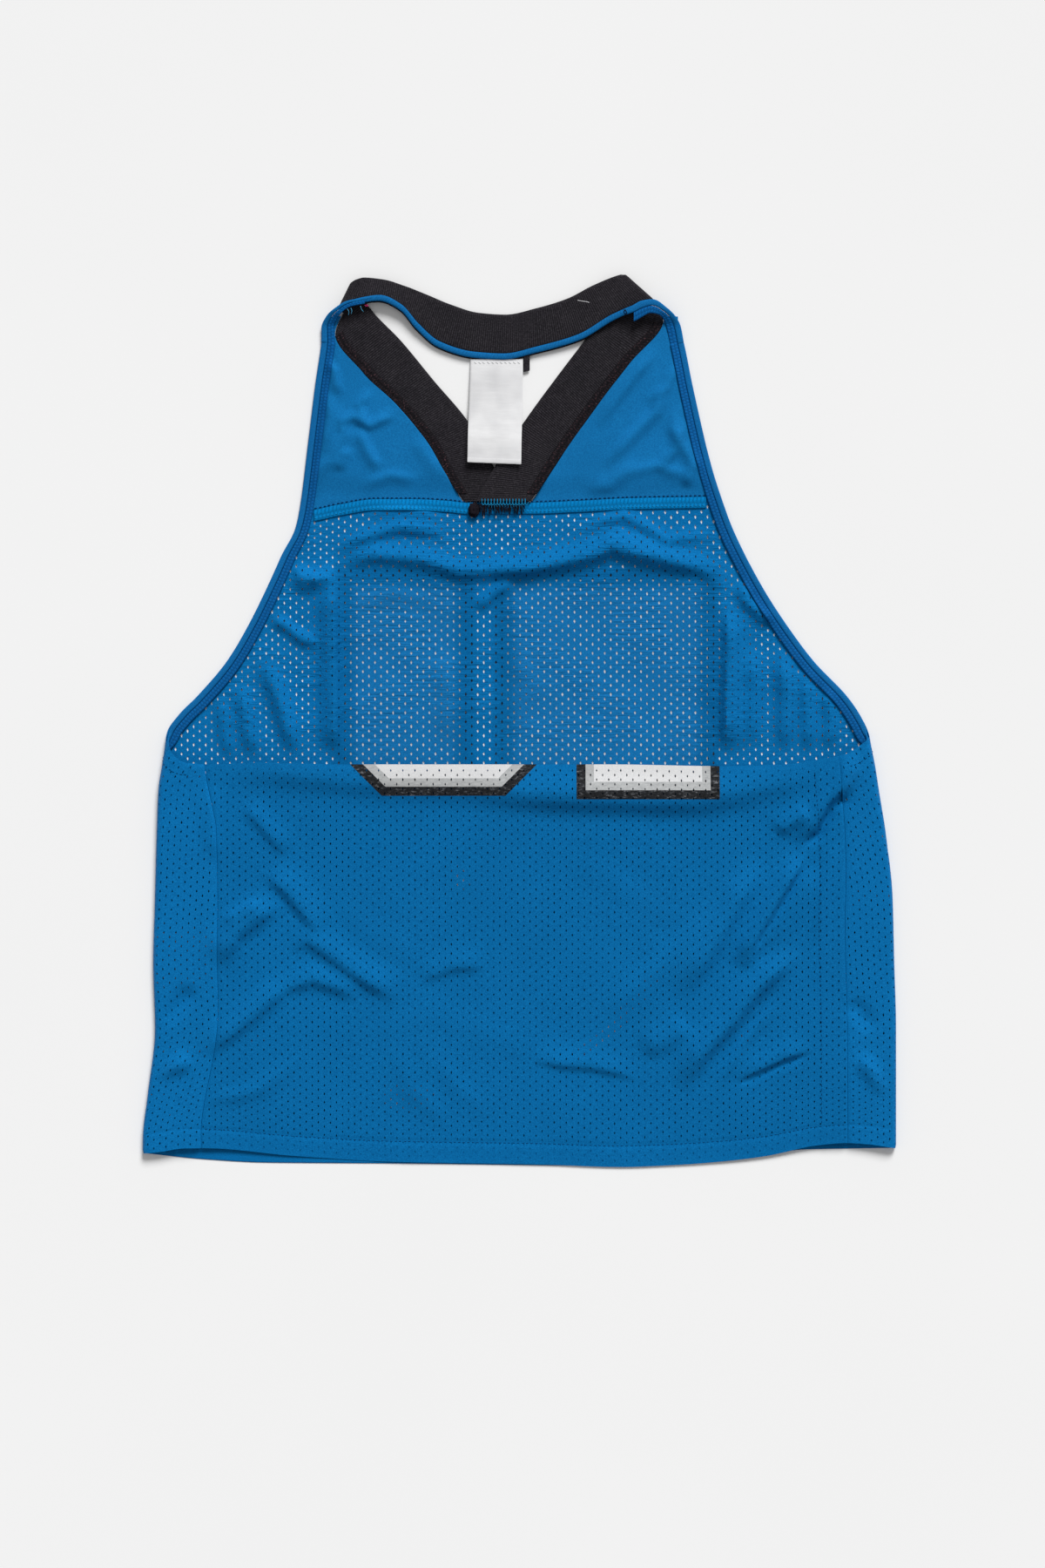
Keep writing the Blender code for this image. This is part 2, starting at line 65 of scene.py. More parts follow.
# The flat rows of the hem's edge, the yoke seam and the back's top edge, and the rows where
# the cloth starts to bend towards each.
HEM_ROW, HEM_CALM, HEM_DEPTH = -256.0, -200.0, 12.0
SEAM_ROW, SEAM_CALM = 125.0, 90.0
BACK_ROW, BACK_CALM = -26.0, -70.0
ALLOWANCE = {LEFT: 10.5, RIGHT: 15.0}  # how far each seam's allowance is pressed to the left
REST = 0.82           # top of the back over the front's outer face, where they touch
BILLOW = 58.0         # how far in the side folds hold the back up
FRONT_DEPTH, BACK_DEPTH = 2.3, 2.0  # how strongly the creases of the tables stand out
SAG = 0.28            # the cloth's soft unevenness
SAG_FRONT, SAG_YOKE, SAG_BACK = 17.0, 26.0, 30.0  # how wide its bumps are
YOKE_SAG = 2.2        # how many times as uneven the yokes are
LOFT, YOKE_LOFT = 0.15, 1.5  # how high the front lies over its creases' lowest places
GAP = 0.15            # between the layers, and between a cloth and its trim
SHOWN_FADE, SIDE_FADE, UNDER_FADE = 24.0, 9.0, 14.0  # over which lengths creases begin
LINE_WIDE = 0.8       # half the width of a sunk row of stitches
SEAM_RAISED, SEAM_SUNK = 0.25, 0.4  # how high an allowance stands, and how deep a seam lies
HEM_RAISED, HEM_SUNK = 0.12, 0.35
CURVE_STEPS = 12      # to which each interval of a table's curve is divided

HOLE_SIZES = (0.86, 1.14)  # between which shares the holes' sizes vary
FRONT_MARGIN, BACK_MARGIN = 1.5, 1.0  # between a cut edge and the nearest holes
HOLE_CLEAR, EDGE_CLEAR = 0.75, 0.6  # between the holes or an edge and the cloth's own points
EDGE_STEP, CURL_STEP, ARM_STEP = 3.0, 0.8, 2.5  # between the points of the front's edge
BACK_STEP = 2.5
FOLD_STEP, FOLD_ANGLE = 2.45, math.pi / 6  # between the points of a side fold
LINE_STEP = 1.7       # between the points along stitches and seams
# Between the points along a crease, and at which shares of its spread they lie.
FRONT_MARKS = (2.4, (-0.7, 0, 0.7))
BACK_MARKS = (1.7, (-1.2, -0.6, 0, 0.6, 1.2))
ALIGNED_OPEN = 0.9    # how far open the lower layer's holes are where they line up
# Painted shade: COVERED_SHADE darkens the front's inside under the back, where little light gets
# in.
COVERED_SHADE = 0.28  # how light the front's inside is under the back

OUTLINE = [
    (-260, -216, 216), (-249, -216, 216), (-215, -213, 216), (-177, -209, 216),
    (-140, -210, 215), (-102, -209, 214), (-65, -208, 210), (-40, -207, 206),
    (-27, -205, 204), (-17, -203.5, 202), (-7, -202, 200), (3, -195, 195),
    (13, -185, 188), (33, -168, 169), (53, -156, 154), (73, -146, 141), (93, -137, 130),
    (113, -129, 120), (133, -125, 113), (153, -122, 108), (193, -117, 99),
    (213, -114, 95), (221, -113, 93), (229, -109, 91),
]
REACH = {
    LEFT: [
        (-260, 38.5), (-230, 38), (-149, 41.5), (-65, 40), (-45, 36), (-30, 31.5),
        (-26, 30), (-25, 19), (-23, 15), (-20, 11.5), (-15, 8), (-10, 4.5), (-6, 2),
        (-2, 0.5), (2, 0), (250, 0),
    ],
    RIGHT: [
        (-260, 32.5), (-121, 33), (-65, 29), (-45, 27.5), (-26, 26.4), (-21, 26),
        (-20, 21.5), (-18, 17.5), (-15, 12.5), (-12, 8), (-9, 4.5), (-6, 2), (-2, 0.5),
        (2, 0), (250, 0),
    ],
}
FOLD_RADIUS = [
    (-260, 2.3, 2.3), (-200, 2.2, 2.3), (-120, 2.3, 2.4), (-50, 2.7, 2.7),
    (-10, 2.9, 2.9), (250, 2.9, 2.9),
]
HEM_FRONT = [
    (-216, -249), (-182, -252.5), (-145, -254.5), (-72, -255), (12, -256), (58, -256.5),
    (86, -255), (114, -253), (142, -250), (163, -247), (216, -246),
]
HEM_BACK = [
    (-216, -249), (-206, -248), (-192, -246), (-180, -246), (-130, -250.5), (-72, -254),
    (12, -255.5), (58, -257), (86, -256), (114, -254), (142, -250.5), (170, -244.5),
    (187, -243), (198, -243.5), (216, -246),
]
BACK_TOP = [
    (-178, -26), (-148, -25), (-98, -26), (52, -26), (117, -27), (152, -26), (172, -23),
    (184, -21),
]
YOKE_SEAM = [
    (-129, 118.5), (-117, 120.5), (-103, 123.5), (-82, 126.5), (-62, 126.5),
    (-41, 125.5), (-31, 124.5), (7, 124.5), (33, 125.5), (63, 127), (116, 128),
]

# A soft ridge, or a trough where rise is negative, along points: left and right are how
# far it spreads to each side of its run, and fade the share of it that each end takes.
Crease = namedtuple("Crease", "rise left right points fade", defaults=[0.3])


# ---------------------------------------------------------------- curves and surfaces


def profile(rows, column=1):
    """A smooth curve through one column of a table, by its first column."""
    keys = np.array([row[0] for row in rows], float)
    values = np.array([row[column] for row in rows], float)
    width = np.diff(keys)
    steps = np.diff(values) / width
    product, total = steps[:-1] * steps[1:], steps[:-1] + steps[1:]
    inner = np.where(product > 0, 2 * product / np.where(total == 0, 1, total), 0)
    slope = np.concatenate([steps[:1], inner, steps[-1:]])
    t = np.linspace(0, 1, CURVE_STEPS, endpoint=False)
    w, a, b = width[:, None], values[:-1, None], values[1:, None]
    curve = (
        (2 * t**3 - 3 * t**2 + 1) * a
        + (t**3 - 2 * t**2 + t) * w * slope[:-1, None]
        + (3 * t**2 - 2 * t**3) * b
        + (t**3 - t**2) * w * slope[1:, None]
    )
    dense = np.append((keys[:-1, None] + w * t).ravel(), keys[-1])
    heights = np.append(curve.ravel(), values[-1])
    return lambda at: np.interp(at, dense, heights)


outline = {LEFT: profile(OUTLINE, 1), RIGHT: profile(OUTLINE, 2)}
reach = {side: profile(REACH[side]) for side in (LEFT, RIGHT)}
fold_radius = {LEFT: profile(FOLD_RADIUS, 1), RIGHT: profile(FOLD_RADIUS, 2)}
hem_front, hem_back = profile(HEM_FRONT), profile(HEM_BACK)
back_edge, yoke_seam = profile(BACK_TOP), profile(YOKE_SEAM)


def ease(t):
    """0 to 1 with a soft start and end."""
    t = np.clip(t, 0, 1)
    return t * t * (3 - 2 * t)


def mix(a, b, t):
    return a + (b - a) * t


def unit(vectors):
    """Vectors brought to length 1."""
    return vectors / np.maximum(np.linalg.norm(vectors, axis=-1, keepdims=True), 1e-9)


def run_length(points):
    """How far along a path each of its points lies."""
    return np.append(0, np.cumsum(np.linalg.norm(np.diff(points, axis=0), axis=1)))


def relief(creases, x, y):
    """Height of all the creases of a table at places."""
    total = np.zeros_like(x)
    for crease in creases:
        points = np.array(crease.points, float)
        steps = np.diff(points, axis=0)
        lengths = np.linalg.norm(steps, axis=1)
        far = np.concatenate([[0], np.cumsum(lengths)])
        best = np.full_like(x, 1e9)
        along = np.zeros_like(x)
        for start, step, length, past in zip(points, steps, lengths, far):
            dx, dy = x - start[0], y - start[1]
            t = np.clip((dx * step[0] + dy * step[1]) / length**2, 0, 1)
            ax, ay = dx - t * step[0], dy - t * step[1]
            away = np.hypot(ax, ay)
            side = np.sign(step[0] * dy - step[1] * dx)
            nearer = away < np.abs(best)
            best = np.where(nearer, away * np.where(side == 0, 1, side), best)
            along = np.where(nearer, past + t * length, along)
        share = along / far[-1]
        ends = ease(share / crease.fade) * ease((1 - share) / crease.fade)
        wide = np.where(best > 0, crease.left, crease.right)
        total += crease.rise * ends * np.exp(-((best / wide) ** 2))
    return total


def waver(x, y, size, seed):
    """A soft unevenness between -1 and 1, with bumps about size across."""
    places = zip((x / size).ravel(), (y / size).ravel())
    values = [noise.noise(Vector((a + seed, b, seed))) for a, b in places]
    return np.array(values).reshape(np.shape(x))


def fold_start(side, y):
    """Where the front leaves the floor to turn over the side fold."""
    radius = fold_radius[side](y)
    turn = np.minimum(reach[side](y) / radius, math.pi / 2)
    return outline[side](y) - side * radius * np.sin(turn)


def cloth_edge(side, y):
    """Where the flat cloth of the front ends at a side."""
    return fold_start(side, y) + side * reach[side](y)


def side_seam(side, y):
    """Where the front's side strip ends on the back."""
    return fold_start(side, y) - side * (reach[side](y) - math.pi * fold_radius[side](y))


def seam_shift(x, y):
    """How far a row near the yoke seam moves to follow the seam."""
    near = 1 - np.clip(np.abs(y - SEAM_ROW) / (SEAM_ROW - SEAM_CALM), 0, 1)
    return ease(near) * (yoke_seam(x) - SEAM_ROW)


def top_shift(x, y):
    """How far a row near the back's top edge moves to follow that edge."""
    return ease((y - BACK_CALM) / (BACK_ROW - BACK_CALM)) * (back_edge(x) - BACK_ROW)


def seam_relief(x, y):
    """Side seams sunk into the back, beside their raised allowances."""
    total = np.zeros_like(x)
    for side in (LEFT, RIGHT):
        seam = side_seam(side, y)
        pressed = ease((x - seam + ALLOWANCE[side]) / 1.2) * ease((seam - x) / LINE_WIDE)
        sunk = np.exp(-(((x - seam) / LINE_WIDE) ** 2))
        total += SEAM_RAISED * pressed - SEAM_SUNK * sunk
    return total * ease((-18 - y) / 6)


def hem_relief(v):
    """The turned hem stands out a little, and its stitches sink in."""
    above = v - HEM_ROW - HEM_DEPTH
    return HEM_RAISED * ease(-above / 1.5) - HEM_SUNK * np.exp(-((above / LINE_WIDE) ** 2))


def front_rise(x, y):
    """Height of the front's outer face, which lies below."""
    inside = np.minimum(x - outline[LEFT](y), outline[RIGHT](y) - x)
    shown = ease((y - BACK_ROW + 6) / SHOWN_FADE) * ease((inside - 1) / SIDE_FADE)
    smooth = ease((y - SEAM_ROW) / 10)
    high = FRONT_DEPTH * relief(FRONT_CREASES, x, y)
    yoke_sag = YOKE_SAG * waver(x, y, SAG_YOKE, 4.0)
    high += SAG * mix(waver(x, y, SAG_FRONT, 2.0), yoke_sag, smooth)
    low = relief(FRONT_HIDDEN, x, y) * ease((inside - 4) / UNDER_FADE) * (1 - shown)
    loft = LOFT + YOKE_LOFT * ease((y - SEAM_ROW - 2) / UNDER_FADE)
    return FLOOR_GAP + np.maximum(shown * (high + loft) + low, 0)


def back_top(x, y):
    """Height of the top of the back, side strips included."""
    left = np.maximum(x - fold_start(LEFT, y), 0)
    right = np.maximum(fold_start(RIGHT, y) - x, 0)
    held_left = (2 * fold_radius[LEFT](y) - REST) * np.exp(-((left / BILLOW) ** 1.6))
    held_right = (2 * fold_radius[RIGHT](y) - REST) * np.exp(-((right / BILLOW) ** 1.6))
    inside = np.minimum(left, right)
    rise = BACK_DEPTH * relief(BACK_CREASES, x, y) + SAG * waver(x, y, SAG_BACK, 7.0)
    rise = ease(inside / UNDER_FADE) * rise
    own = REST + held_left + held_right + rise + seam_relief(x, y)
    under = ease(inside / 10) * (front_rise(x, y) + 2 * MESH_WALL + GAP)
    return np.maximum(own + FLOOR_GAP, under)


def hem_bend(curve, x, y):
    """The height in the view of a row's point at x, bent to the hem's edge near it."""
    bend = 1 - ease((y - HEM_ROW) / (HEM_CALM - HEM_ROW))
    return y + bend * (curve(x) - HEM_ROW)


def on_front(x, y, lift):
    """Places over the outer face of the front's inner part."""
    return np.stack([x, y, front_rise(x, y) + lift], -1)


def front_place(u, v):
    """The front's outer face at places of its cloth."""
    u, v = np.broadcast_arrays(np.asarray(u, float), np.asarray(v, float))
    x, y, z = u.copy(), hem_bend(hem_front, u, v) + seam_shift(u, v), front_rise(u, v)
    for side in (LEFT, RIGHT):
        start, radius = fold_start(side, v), fold_radius[side](v)
        s = side * (u - start)
        turn = np.clip(s / radius, 0, math.pi)
        on_top = np.maximum(s - math.pi * radius, 0)
        bent = start + side * (radius * np.sin(turn) - on_top)
        low, high = hem_bend(hem_front, bent, v), hem_bend(hem_back, bent, v)
        curl = FLOOR_GAP + radius * (1 - np.cos(turn))
        over = s > 1e-3  # more than the rounding of a place on the edge
        x = np.where(over, bent, x)
        y = np.where(over, mix(low, high, ease(turn / math.pi)), y)
        top = np.where(on_top > 0, back_top(bent, v) + hem_relief(v), curl)
        z = np.where(over, top, z)
    return np.stack([x, y, z], -1)


def back_place(u, v):
    """The back's outer face at places of its cloth."""
    u, v = np.broadcast_arrays(np.asarray(u, float), np.asarray(v, float))
    y = hem_bend(hem_back, u, v) + top_shift(u, v)
    return np.stack([u, y, back_top(u, v) + hem_relief(v)], -1)


def lifted(place, u, v, height):
    """Places off a surface, along the normal that points to +Z where it lies flat."""
    e = 0.2
    across = place(u + e, v) - place(u - e, v)
    along = place(u, v + e) - place(u, v - e)
    return place(u, v) + unit(np.cross(across, along)) * np.asarray(height)[..., None]


# ---------------------------------------------------------------- creases

FRONT_CREASES = [Crease(*row) for row in [
    (
        2.6, 7, 4,
        [
            (-18, 82), (2, 85), (22, 89), (47, 95), (53, 98), (69, 94), (102, 87), (115, 79),
            (123, 71),
        ],
    ),
    (
        1, 3, 3,
        [(26, 105), (36, 108), (47, 112), (60, 115), (74, 108), (85, 102), (110, 104), (118, 101)],
    ),
    (1.4, 4, 3, [(-108, 94), (-92, 103), (-69, 109), (-48, 107), (-41, 99)]),
    (1.6, 4, 5, [(-133, 82), (-122, 78), (-112, 81), (-106, 87)]),
    (1.9, 6, 4, [(-107, 88), (-83, 94), (-54, 91), (-34, 84), (2, 86), (22, 89)], 0.2),
    (2.61, 3, 7, [(-107, 85), (-107, 53), (-106, 13), (-106, -25)], 0.2),
    (1.45, 3, 3, [(-26, 62), (-15, 72), (-3, 79)]),
    (1.1, 4, 4, [(-171, 14), (-169, -7), (-166, -26)]),
    (1.5, 4, 5, [(-160, 22), (-156, -2), (-152, -25)]),
    (2.0, 4.5, 5, [(-148, 37), (-138, 13), (-128, -23)]),
    (1.4, 4, 3, [(-145, 58), (-133, 53), (-125, 46), (-113, 42)]),
    (1.2, 4, 3, [(-130, 88), (-125, 83), (-113, 79)]),
    (-0.8, 3, 3, [(-138, 69), (-133, 60), (-125, 49)]),
    (2.75, 8, 3, [(119, 69), (120, 43), (119, 13), (118, -23)], 0.25),
    (1.7, 4, 4, [(126, 81), (130, 68), (140, 59), (150, 62)]),
    (1.2, 5, 4, [(132, 44), (135, 18), (132, -18)]),
    (1.9, 5, 4.5, [(150, 42), (153, 13), (151, -22)]),
    (1.4, 4.5, 4, [(163, 30), (166, -2), (164, -22)]),
    (1.2, 4, 4.5, [(176, 20), (179, -2), (177, -19)]),
    (0.5, 4, 5, [(-98, 66), (-72, 72), (-44, 66)], 0.35),
    (0.6, 3, 5, [(-92, 117), (-66, 120), (-40, 113)], 0.35),
    (0.5, 4, 4, [(28, 100), (58, 103), (92, 95)], 0.35),
    (0.5, 6, 6, [(-48, 40), (-40, 12), (-44, -18)], 0.35),
    (0.5, 6, 6, [(-2, 52), (4, 20), (-2, -14)], 0.35),
    (0.9, 2.5, 3.5, [(-113, 208), (-106, 199), (-103, 184)]),
    (0.9, 3.5, 2.5, [(-106, 169), (-95, 173), (-86, 168), (-75, 173), (-71, 179)]),
    (1.0, 2.5, 4, [(-93, 168), (-87, 154), (-79, 141)]),
    (0.9, 3.5, 2.5, [(-98, 157), (-105, 141)], 0.35),
    (0.6, 3.5, 5, [(-62, 164), (-52, 149), (-43, 136)], 0.35),
    (0.8, 4, 3, [(-110, 190), (-108, 172), (-112, 150)], 0.35),
    (0.8, 3, 4.5, [(81, 214), (67, 198), (54, 181), (43, 165)]),
    (1.2, 4, 3, [(86, 195), (78, 176), (62, 160), (48, 143)]),
    (1.0, 2.5, 4, [(95, 173), (89, 154), (78, 141)]),
    (0.9, 3, 3, [(100, 149), (95, 132)], 0.35),
    (0.8, 4, 5, [(70, 150), (52, 134), (34, 131)], 0.35),
    (0.9, 3, 4, [(112, 138), (98, 149), (88, 166), (90, 184)], 0.35),
    (0.6, 3, 3.5, [(58, 140), (78, 145), (101, 138)], 0.35),
    (0.7, 3, 3, [(91, 206), (84, 190), (71, 180)], 0.35),
    (0.8, 3, 4, [(-121, 137), (-108, 148), (-101, 163), (-104, 182)], 0.35),
    (0.6, 3, 3.5, [(-92, 133), (-74, 140), (-56, 136)], 0.35),
    (0.7, 3, 3, [(-84, 190), (-92, 180), (-88, 166)], 0.35),
]]
BACK_CREASES = [Crease(*row) for row in [
    (
        -1.6, 2.2, 2.2,
        [(167, -77), (161, -88), (152, -103), (143, -118), (135, -131), (129, -141)],
        0.25,
    ),
    (1.2, 9, 4, [(172, -82), (165, -92), (156, -108), (147, -123), (138, -136)]),
    (-1.6, 2.4, 2.4, [(191, -38), (186, -47), (179, -52), (172, -66), (161, -74)], 0.25),
    (-1, 2, 2, [(170, -191), (153, -197), (138, -204), (122, -211)]),
    (
        1.8, 15, 8,
        [
            (-178, -30), (-138, -31), (-98, -35), (2, -41), (82, -44), (127, -40), (167, -33),
            (184, -26),
        ],
        0.15,
    ),
    (1.3, 12, 6, [(-30, -45), (52, -48), (102, -49), (145, -44)]),
    (1.2, 7, 3, [(-159, -48), (-146, -63), (-132, -79)]),
    (1.7, 10, 3.5, [(-147, -86), (-133, -99), (-120, -115), (-111, -124)]),
    (1.8, 9, 4, [(-134, -131), (-120, -127), (-103, -139), (-86, -151), (-68, -161)], 0.25),
    (2.2, 4.5, 9, [(-136, -103), (-163, -124), (-174, -143)]),
    (1.8, 4, 8, [(-126, -148), (-137, -156), (-164, -179), (-183, -193)]),
    (1.6, 8, 4, [(-137, -156), (-119, -149), (-103, -154), (-91, -161)]),
    (-1.4, 5, 5, [(-210, -176), (-198, -167), (-186, -152)]),
    (1.6, 4, 7, [(-186, -195), (-201, -201), (-212, -207)]),
    (1.8, 4.5, 8, [(197, -14), (192, -29), (183, -43), (174, -52), (167, -61), (155, -71)], 0.25),
    (-0.5, 4, 4, [(198, -23), (189, -46), (179, -56), (173, -65)]),
    (1.5, 4, 6, [(168, -55), (161, -56), (154, -60), (147, -67)]),
    (3.0, 4, 8, [(166, -76), (154, -95), (143, -115), (131, -136), (124, -145)], 0.25),
    (2.4, 6, 9, [(141, -79), (127, -100), (112, -128), (98, -149), (89, -162)]),
    (
        3.0, 5, 9,
        [(162, -131), (147, -144), (133, -158), (122, -173), (104, -192), (96, -206), (92, -215)],
        0.25,
    ),
    (1.4, 6, 9, [(99, -173), (86, -183), (69, -192)]),
    (1.0, 3, 8, [(169, -188), (152, -194), (137, -201), (122, -208)]),
    (1.1, 8, 2.5, [(3, -194), (24, -198), (40, -199), (55, -202), (72, -207)]),
    (1, 8, 3, [(-59, -150), (-38, -142), (-17, -141)]),
    (1.6, 5, 5, [(193, -191), (204, -205), (214, -220)]),
    (-1, 5, 5, [(189, -160), (204, -179)]),
    (1.0, 3, 5, [(-174, -35), (-176, -60), (-174, -84)]),
    (1.1, 3, 6, [(-172, -117), (-160, -110), (-147, -104)]),
    (0.4, 5, 6, [(-54, -188), (-32, -214), (-15, -232)], 0.35),
    (0.9, 7, 10, [(49, -172), (93, -131), (116, -103)]),
    (0.9, 4, 3, [(150, -160), (128, -186), (112, -214)]),
    (0.8, 3, 3, [(182, -70), (176, -95), (168, -130)]),
    (0.7, 5, 5, [(-120, -190), (-150, -214), (-186, -226)], 0.35),
    (0.5, 6, 6, [(-38, -237), (-63, -212), (-71, -187)]),
]]
# Where the holes of the two layers stand over each other: rise is the share of the way.
ALIGNED = [Crease(*row) for row in [
    (1, 13, 13, [(-88, -215), (-37, -214)], 0.35),
    (1, 6, 6, [(-163, -183), (-138, -181)], 0.35),
    (1, 7, 7, [(92, -132), (75, -151), (58, -172), (24, -203)], 0.2),
    (1, 6, 6, [(133, -166), (127, -202)], 0.35),
    (1, 7, 7, [(-36, -78), (-30, -102)], 0.35),
]]
FRONT_HIDDEN = [Crease(*row) for row in [
    (0.7, 9, 12, [(-150, -60), (-90, -120), (-40, -150)]),
    (0.6, 10, 8, [(-120, -190), (-50, -170), (30, -200)]),
    (0.7, 8, 11, [(20, -70), (80, -110), (150, -130)]),
    (0.6, 12, 9, [(60, -220), (110, -180), (160, -190)]),
]]


# ---------------------------------------------------------------- materials


class Look:
    """A material's node tree, built up node by node."""

    def __init__(self, name, roughness, sheen=0.0, specular=0.04):
        self.material = bpy.data.materials.new(name)
        self.material.use_nodes = True
        self.tree = self.material.node_tree
        self.shader = self.tree.nodes["Principled BSDF"]
        for name, value in (
            ("Roughness", roughness), ("Sheen Weight", sheen), ("Sheen Roughness", 0.5),
            ("Specular IOR Level", specular),
        ):
            self.shader.inputs[name].default_value = value

    def node(self, kind, **settings):
        """A node. A setting that isn't one of its own names an input, and sets or joins it."""
        made = self.tree.nodes.new("ShaderNode" + kind)
        for name, value in settings.items():
            if hasattr(made, name):
                setattr(made, name, value)
            else:
                self.join(value, made.inputs[name])
        return made

    def join(self, value, socket):
        if isinstance(value, bpy.types.NodeSocket):
            self.tree.links.new(value, socket)
        else:
            socket.default_value = value

    def coordinates(self, scale):
        """Coordinates in millimetres, times a scale."""
        source = self.node("TexCoord").outputs["Object"]
        factor = [f / MM for f in (scale if isinstance(scale, tuple) else (scale,) * 3)]
        return self.node("Mapping", Vector=source, Scale=factor).outputs["Vector"]

    def noise(self, scale, detail=2.0, rough=0.5):
        where = self.coordinates(scale)
        made = self.node("TexNoise", Vector=where, Scale=1, Detail=detail, Roughness=rough)
        return made.outputs[0]

    def ramp(self, factor, *stops):
        made = self.node("ValToRGB", Fac=factor)
        points = made.color_ramp.elements
        while len(points) < len(stops):
            points.new(0.5)
        for point, (at, colour) in zip(points, stops):
            point.position = at
            point.color = (*colour, 1)
        return made.outputs["Color"]

    def math(self, operation, a, b=0.0):
        made = self.node("Math", operation=operation)
        self.join(a, made.inputs[0])
        self.join(b, made.inputs[1])
        return made.outputs[0]

    def soft_step(self, value, at, spread):
        """0 below a value and 1 above it, with a soft change."""
        moved = self.math("DIVIDE", self.math("SUBTRACT", value, at), spread)
        shifted = self.node("Math", operation="ADD", use_clamp=True)
        self.join(moved, shifted.inputs[0])
        shifted.inputs[1].default_value = 0.5
        return shifted.outputs[0]

    def blend(self, share, a, b, how="MIX"):
        made = self.node("Mix", data_type="RGBA", blend_type=how)
        self.join(share, made.inputs[0])
        self.join(a, made.inputs[6])
        self.join(b, made.inputs[7])
        return made.outputs[2]

    def bump(self, height, distance, after=None):
        made = self.node("Bump", Height=height, Distance=distance * MM, Strength=1.0)
        if after is not None:
            self.join(after, made.inputs["Normal"])
        return made.outputs["Normal"]

    def shaded(self, tone, dark, light, start=0.0):
        """A tone with painted light and shade: darker or lighter by the shade kept at a piece's
        points.
        """
        shade = self.node("Attribute", attribute_name="shade").outputs["Fac"]
        return self.blend(1.0, tone, self.ramp(shade, (start, dark), (1.0, light)), "MULTIPLY")

    def wear(self, colour=None, normal=None, roughness=None):
        """Joins what is given to the shader."""
        for value, name in (
            (colour, "Base Color"), (normal, "Normal"), (roughness, "Roughness")
        ):
            if value is not None:
                self.join(value, self.shader.inputs[name])
        return self.material


def linear(*colour):
    """An sRGB colour of 0 to 255 as the renderer's linear one."""
    parts = [c / 255 for c in colour]
    return tuple(c / 12.92 if c <= 0.04045 else ((c + 0.055) / 1.055) ** 2.4 for c in parts)


GLOSS = (*linear(20, 130, 215), 1)
WALE = 1.6


def knit_tone(look, colour, spread=0.04):
    """A knit's colour with soft patches and a fine grain, and that grain."""
    dark = tuple(c * (1 - spread) for c in colour)
    light = tuple(c * (1 + spread) for c in colour)
    grain = look.noise(1.4, 2.0, 0.6)
    tone = look.ramp(look.noise(0.02), (0.3, dark), (0.7, light))
    speckle = look.ramp(grain, (0.3, (0.72, 0.76, 0.8)), (0.7, (1.2, 1.17, 1.15)))
    return look.blend(1.0, tone, speckle, "MULTIPLY"), grain


def knit_height(look, grain):
    """Height of a knit's loops: fine wales and courses."""
    where = look.coordinates(1)
    wales = look.node(
        "TexWave", Vector=where, bands_direction="X", Scale=WALE, Distortion=0.6, Detail=1.0
    )
    courses = look.node(
        "TexWave", Vector=where, bands_direction="Y", Scale=WALE * 1.15, Distortion=0.5
    )
    loops = look.math("MULTIPLY", wales.outputs[1], courses.outputs[1])
    return look.math("ADD", loops, look.math("MULTIPLY", grain, 0.8))


def satin_look(name, roughness=0.6):
    """A look with the coloured gloss of a blue knit's smooth thread."""
    look = Look(name, roughness, specular=0.4)
    look.shader.inputs["Specular Tint"].default_value = GLOSS
    return look


def knit_look(name, colour, depth=0.08, spread=0.04):
    """A plain blue knit, its loops depth high."""
    look = satin_look(name)
    tone, grain = knit_tone(look, colour, spread)
    return look.wear(tone, look.bump(knit_height(look, grain), depth))


def braid_look(name, colour, dark=0.5):
    """A binding or band whose own rows of thread get painted shade and light from the shade
    attribute.
    """
    look = Look(name, 0.75)
    tone, grain = knit_tone(look, colour, 0.06)
    height = look.math("ADD", look.noise((1.2, 3.1, 2.0), 3.0, 0.6), grain)
    return look.wear(look.shaded(tone, (dark,) * 3, (1.12,) * 3), look.bump(height, 0.12))


def thread_look(name, colour, roughness=0.6):
    look = Look(name, roughness)
    tone = look.ramp(look.noise(1.1), (0.3, tuple(0.75 * c for c in colour)), (0.7, colour))
    return look.wear(tone, look.bump(look.noise(4.0), 0.05))


# A bordered block, printed on the cloth: its middle, half width, foot and top, how much
# its lower corners are cut off, and the widths of its black and grey borders.
Block = namedtuple("Block", "middle half foot top corner black grey")
BACK_BLOCKS = [
    Block(-43.5, 56.0, -44.0, 40.0, 20.5, 5.2, 4.8), Block(73.7, 41.0, -46.0, 40.0, 0.0, 5.2, 4.8),
]
FRONT_BLOCKS = [
    Block(-66.0, 40.0, -52.0, 86.0, 0.0, 6.0, 5.0), Block(50.0, 64.0, -52.0, 86.0, 0.0, 6.0, 5.0),
]


def block_depth(look, block):
    """How deep a place of the material lies inside a block."""
    where = look.node("SeparateXYZ", Vector=look.coordinates(1))
    x, y = where.outputs["X"], where.outputs["Y"]
    aside = look.math("ABSOLUTE", look.math("SUBTRACT", x, block.middle))
    within = look.math("SUBTRACT", block.half, aside)
    over = look.math("SUBTRACT", y, block.foot)
    under = look.math("SUBTRACT", block.top, y)
    depth = look.math("MINIMUM", look.math("MINIMUM", within, over), under)
    if block.corner:
        cut = look.math("SUBTRACT", look.math("ADD", within, over), block.corner)
        depth = look.math("MINIMUM", depth, look.math("MULTIPLY", cut, 0.707))
    return depth


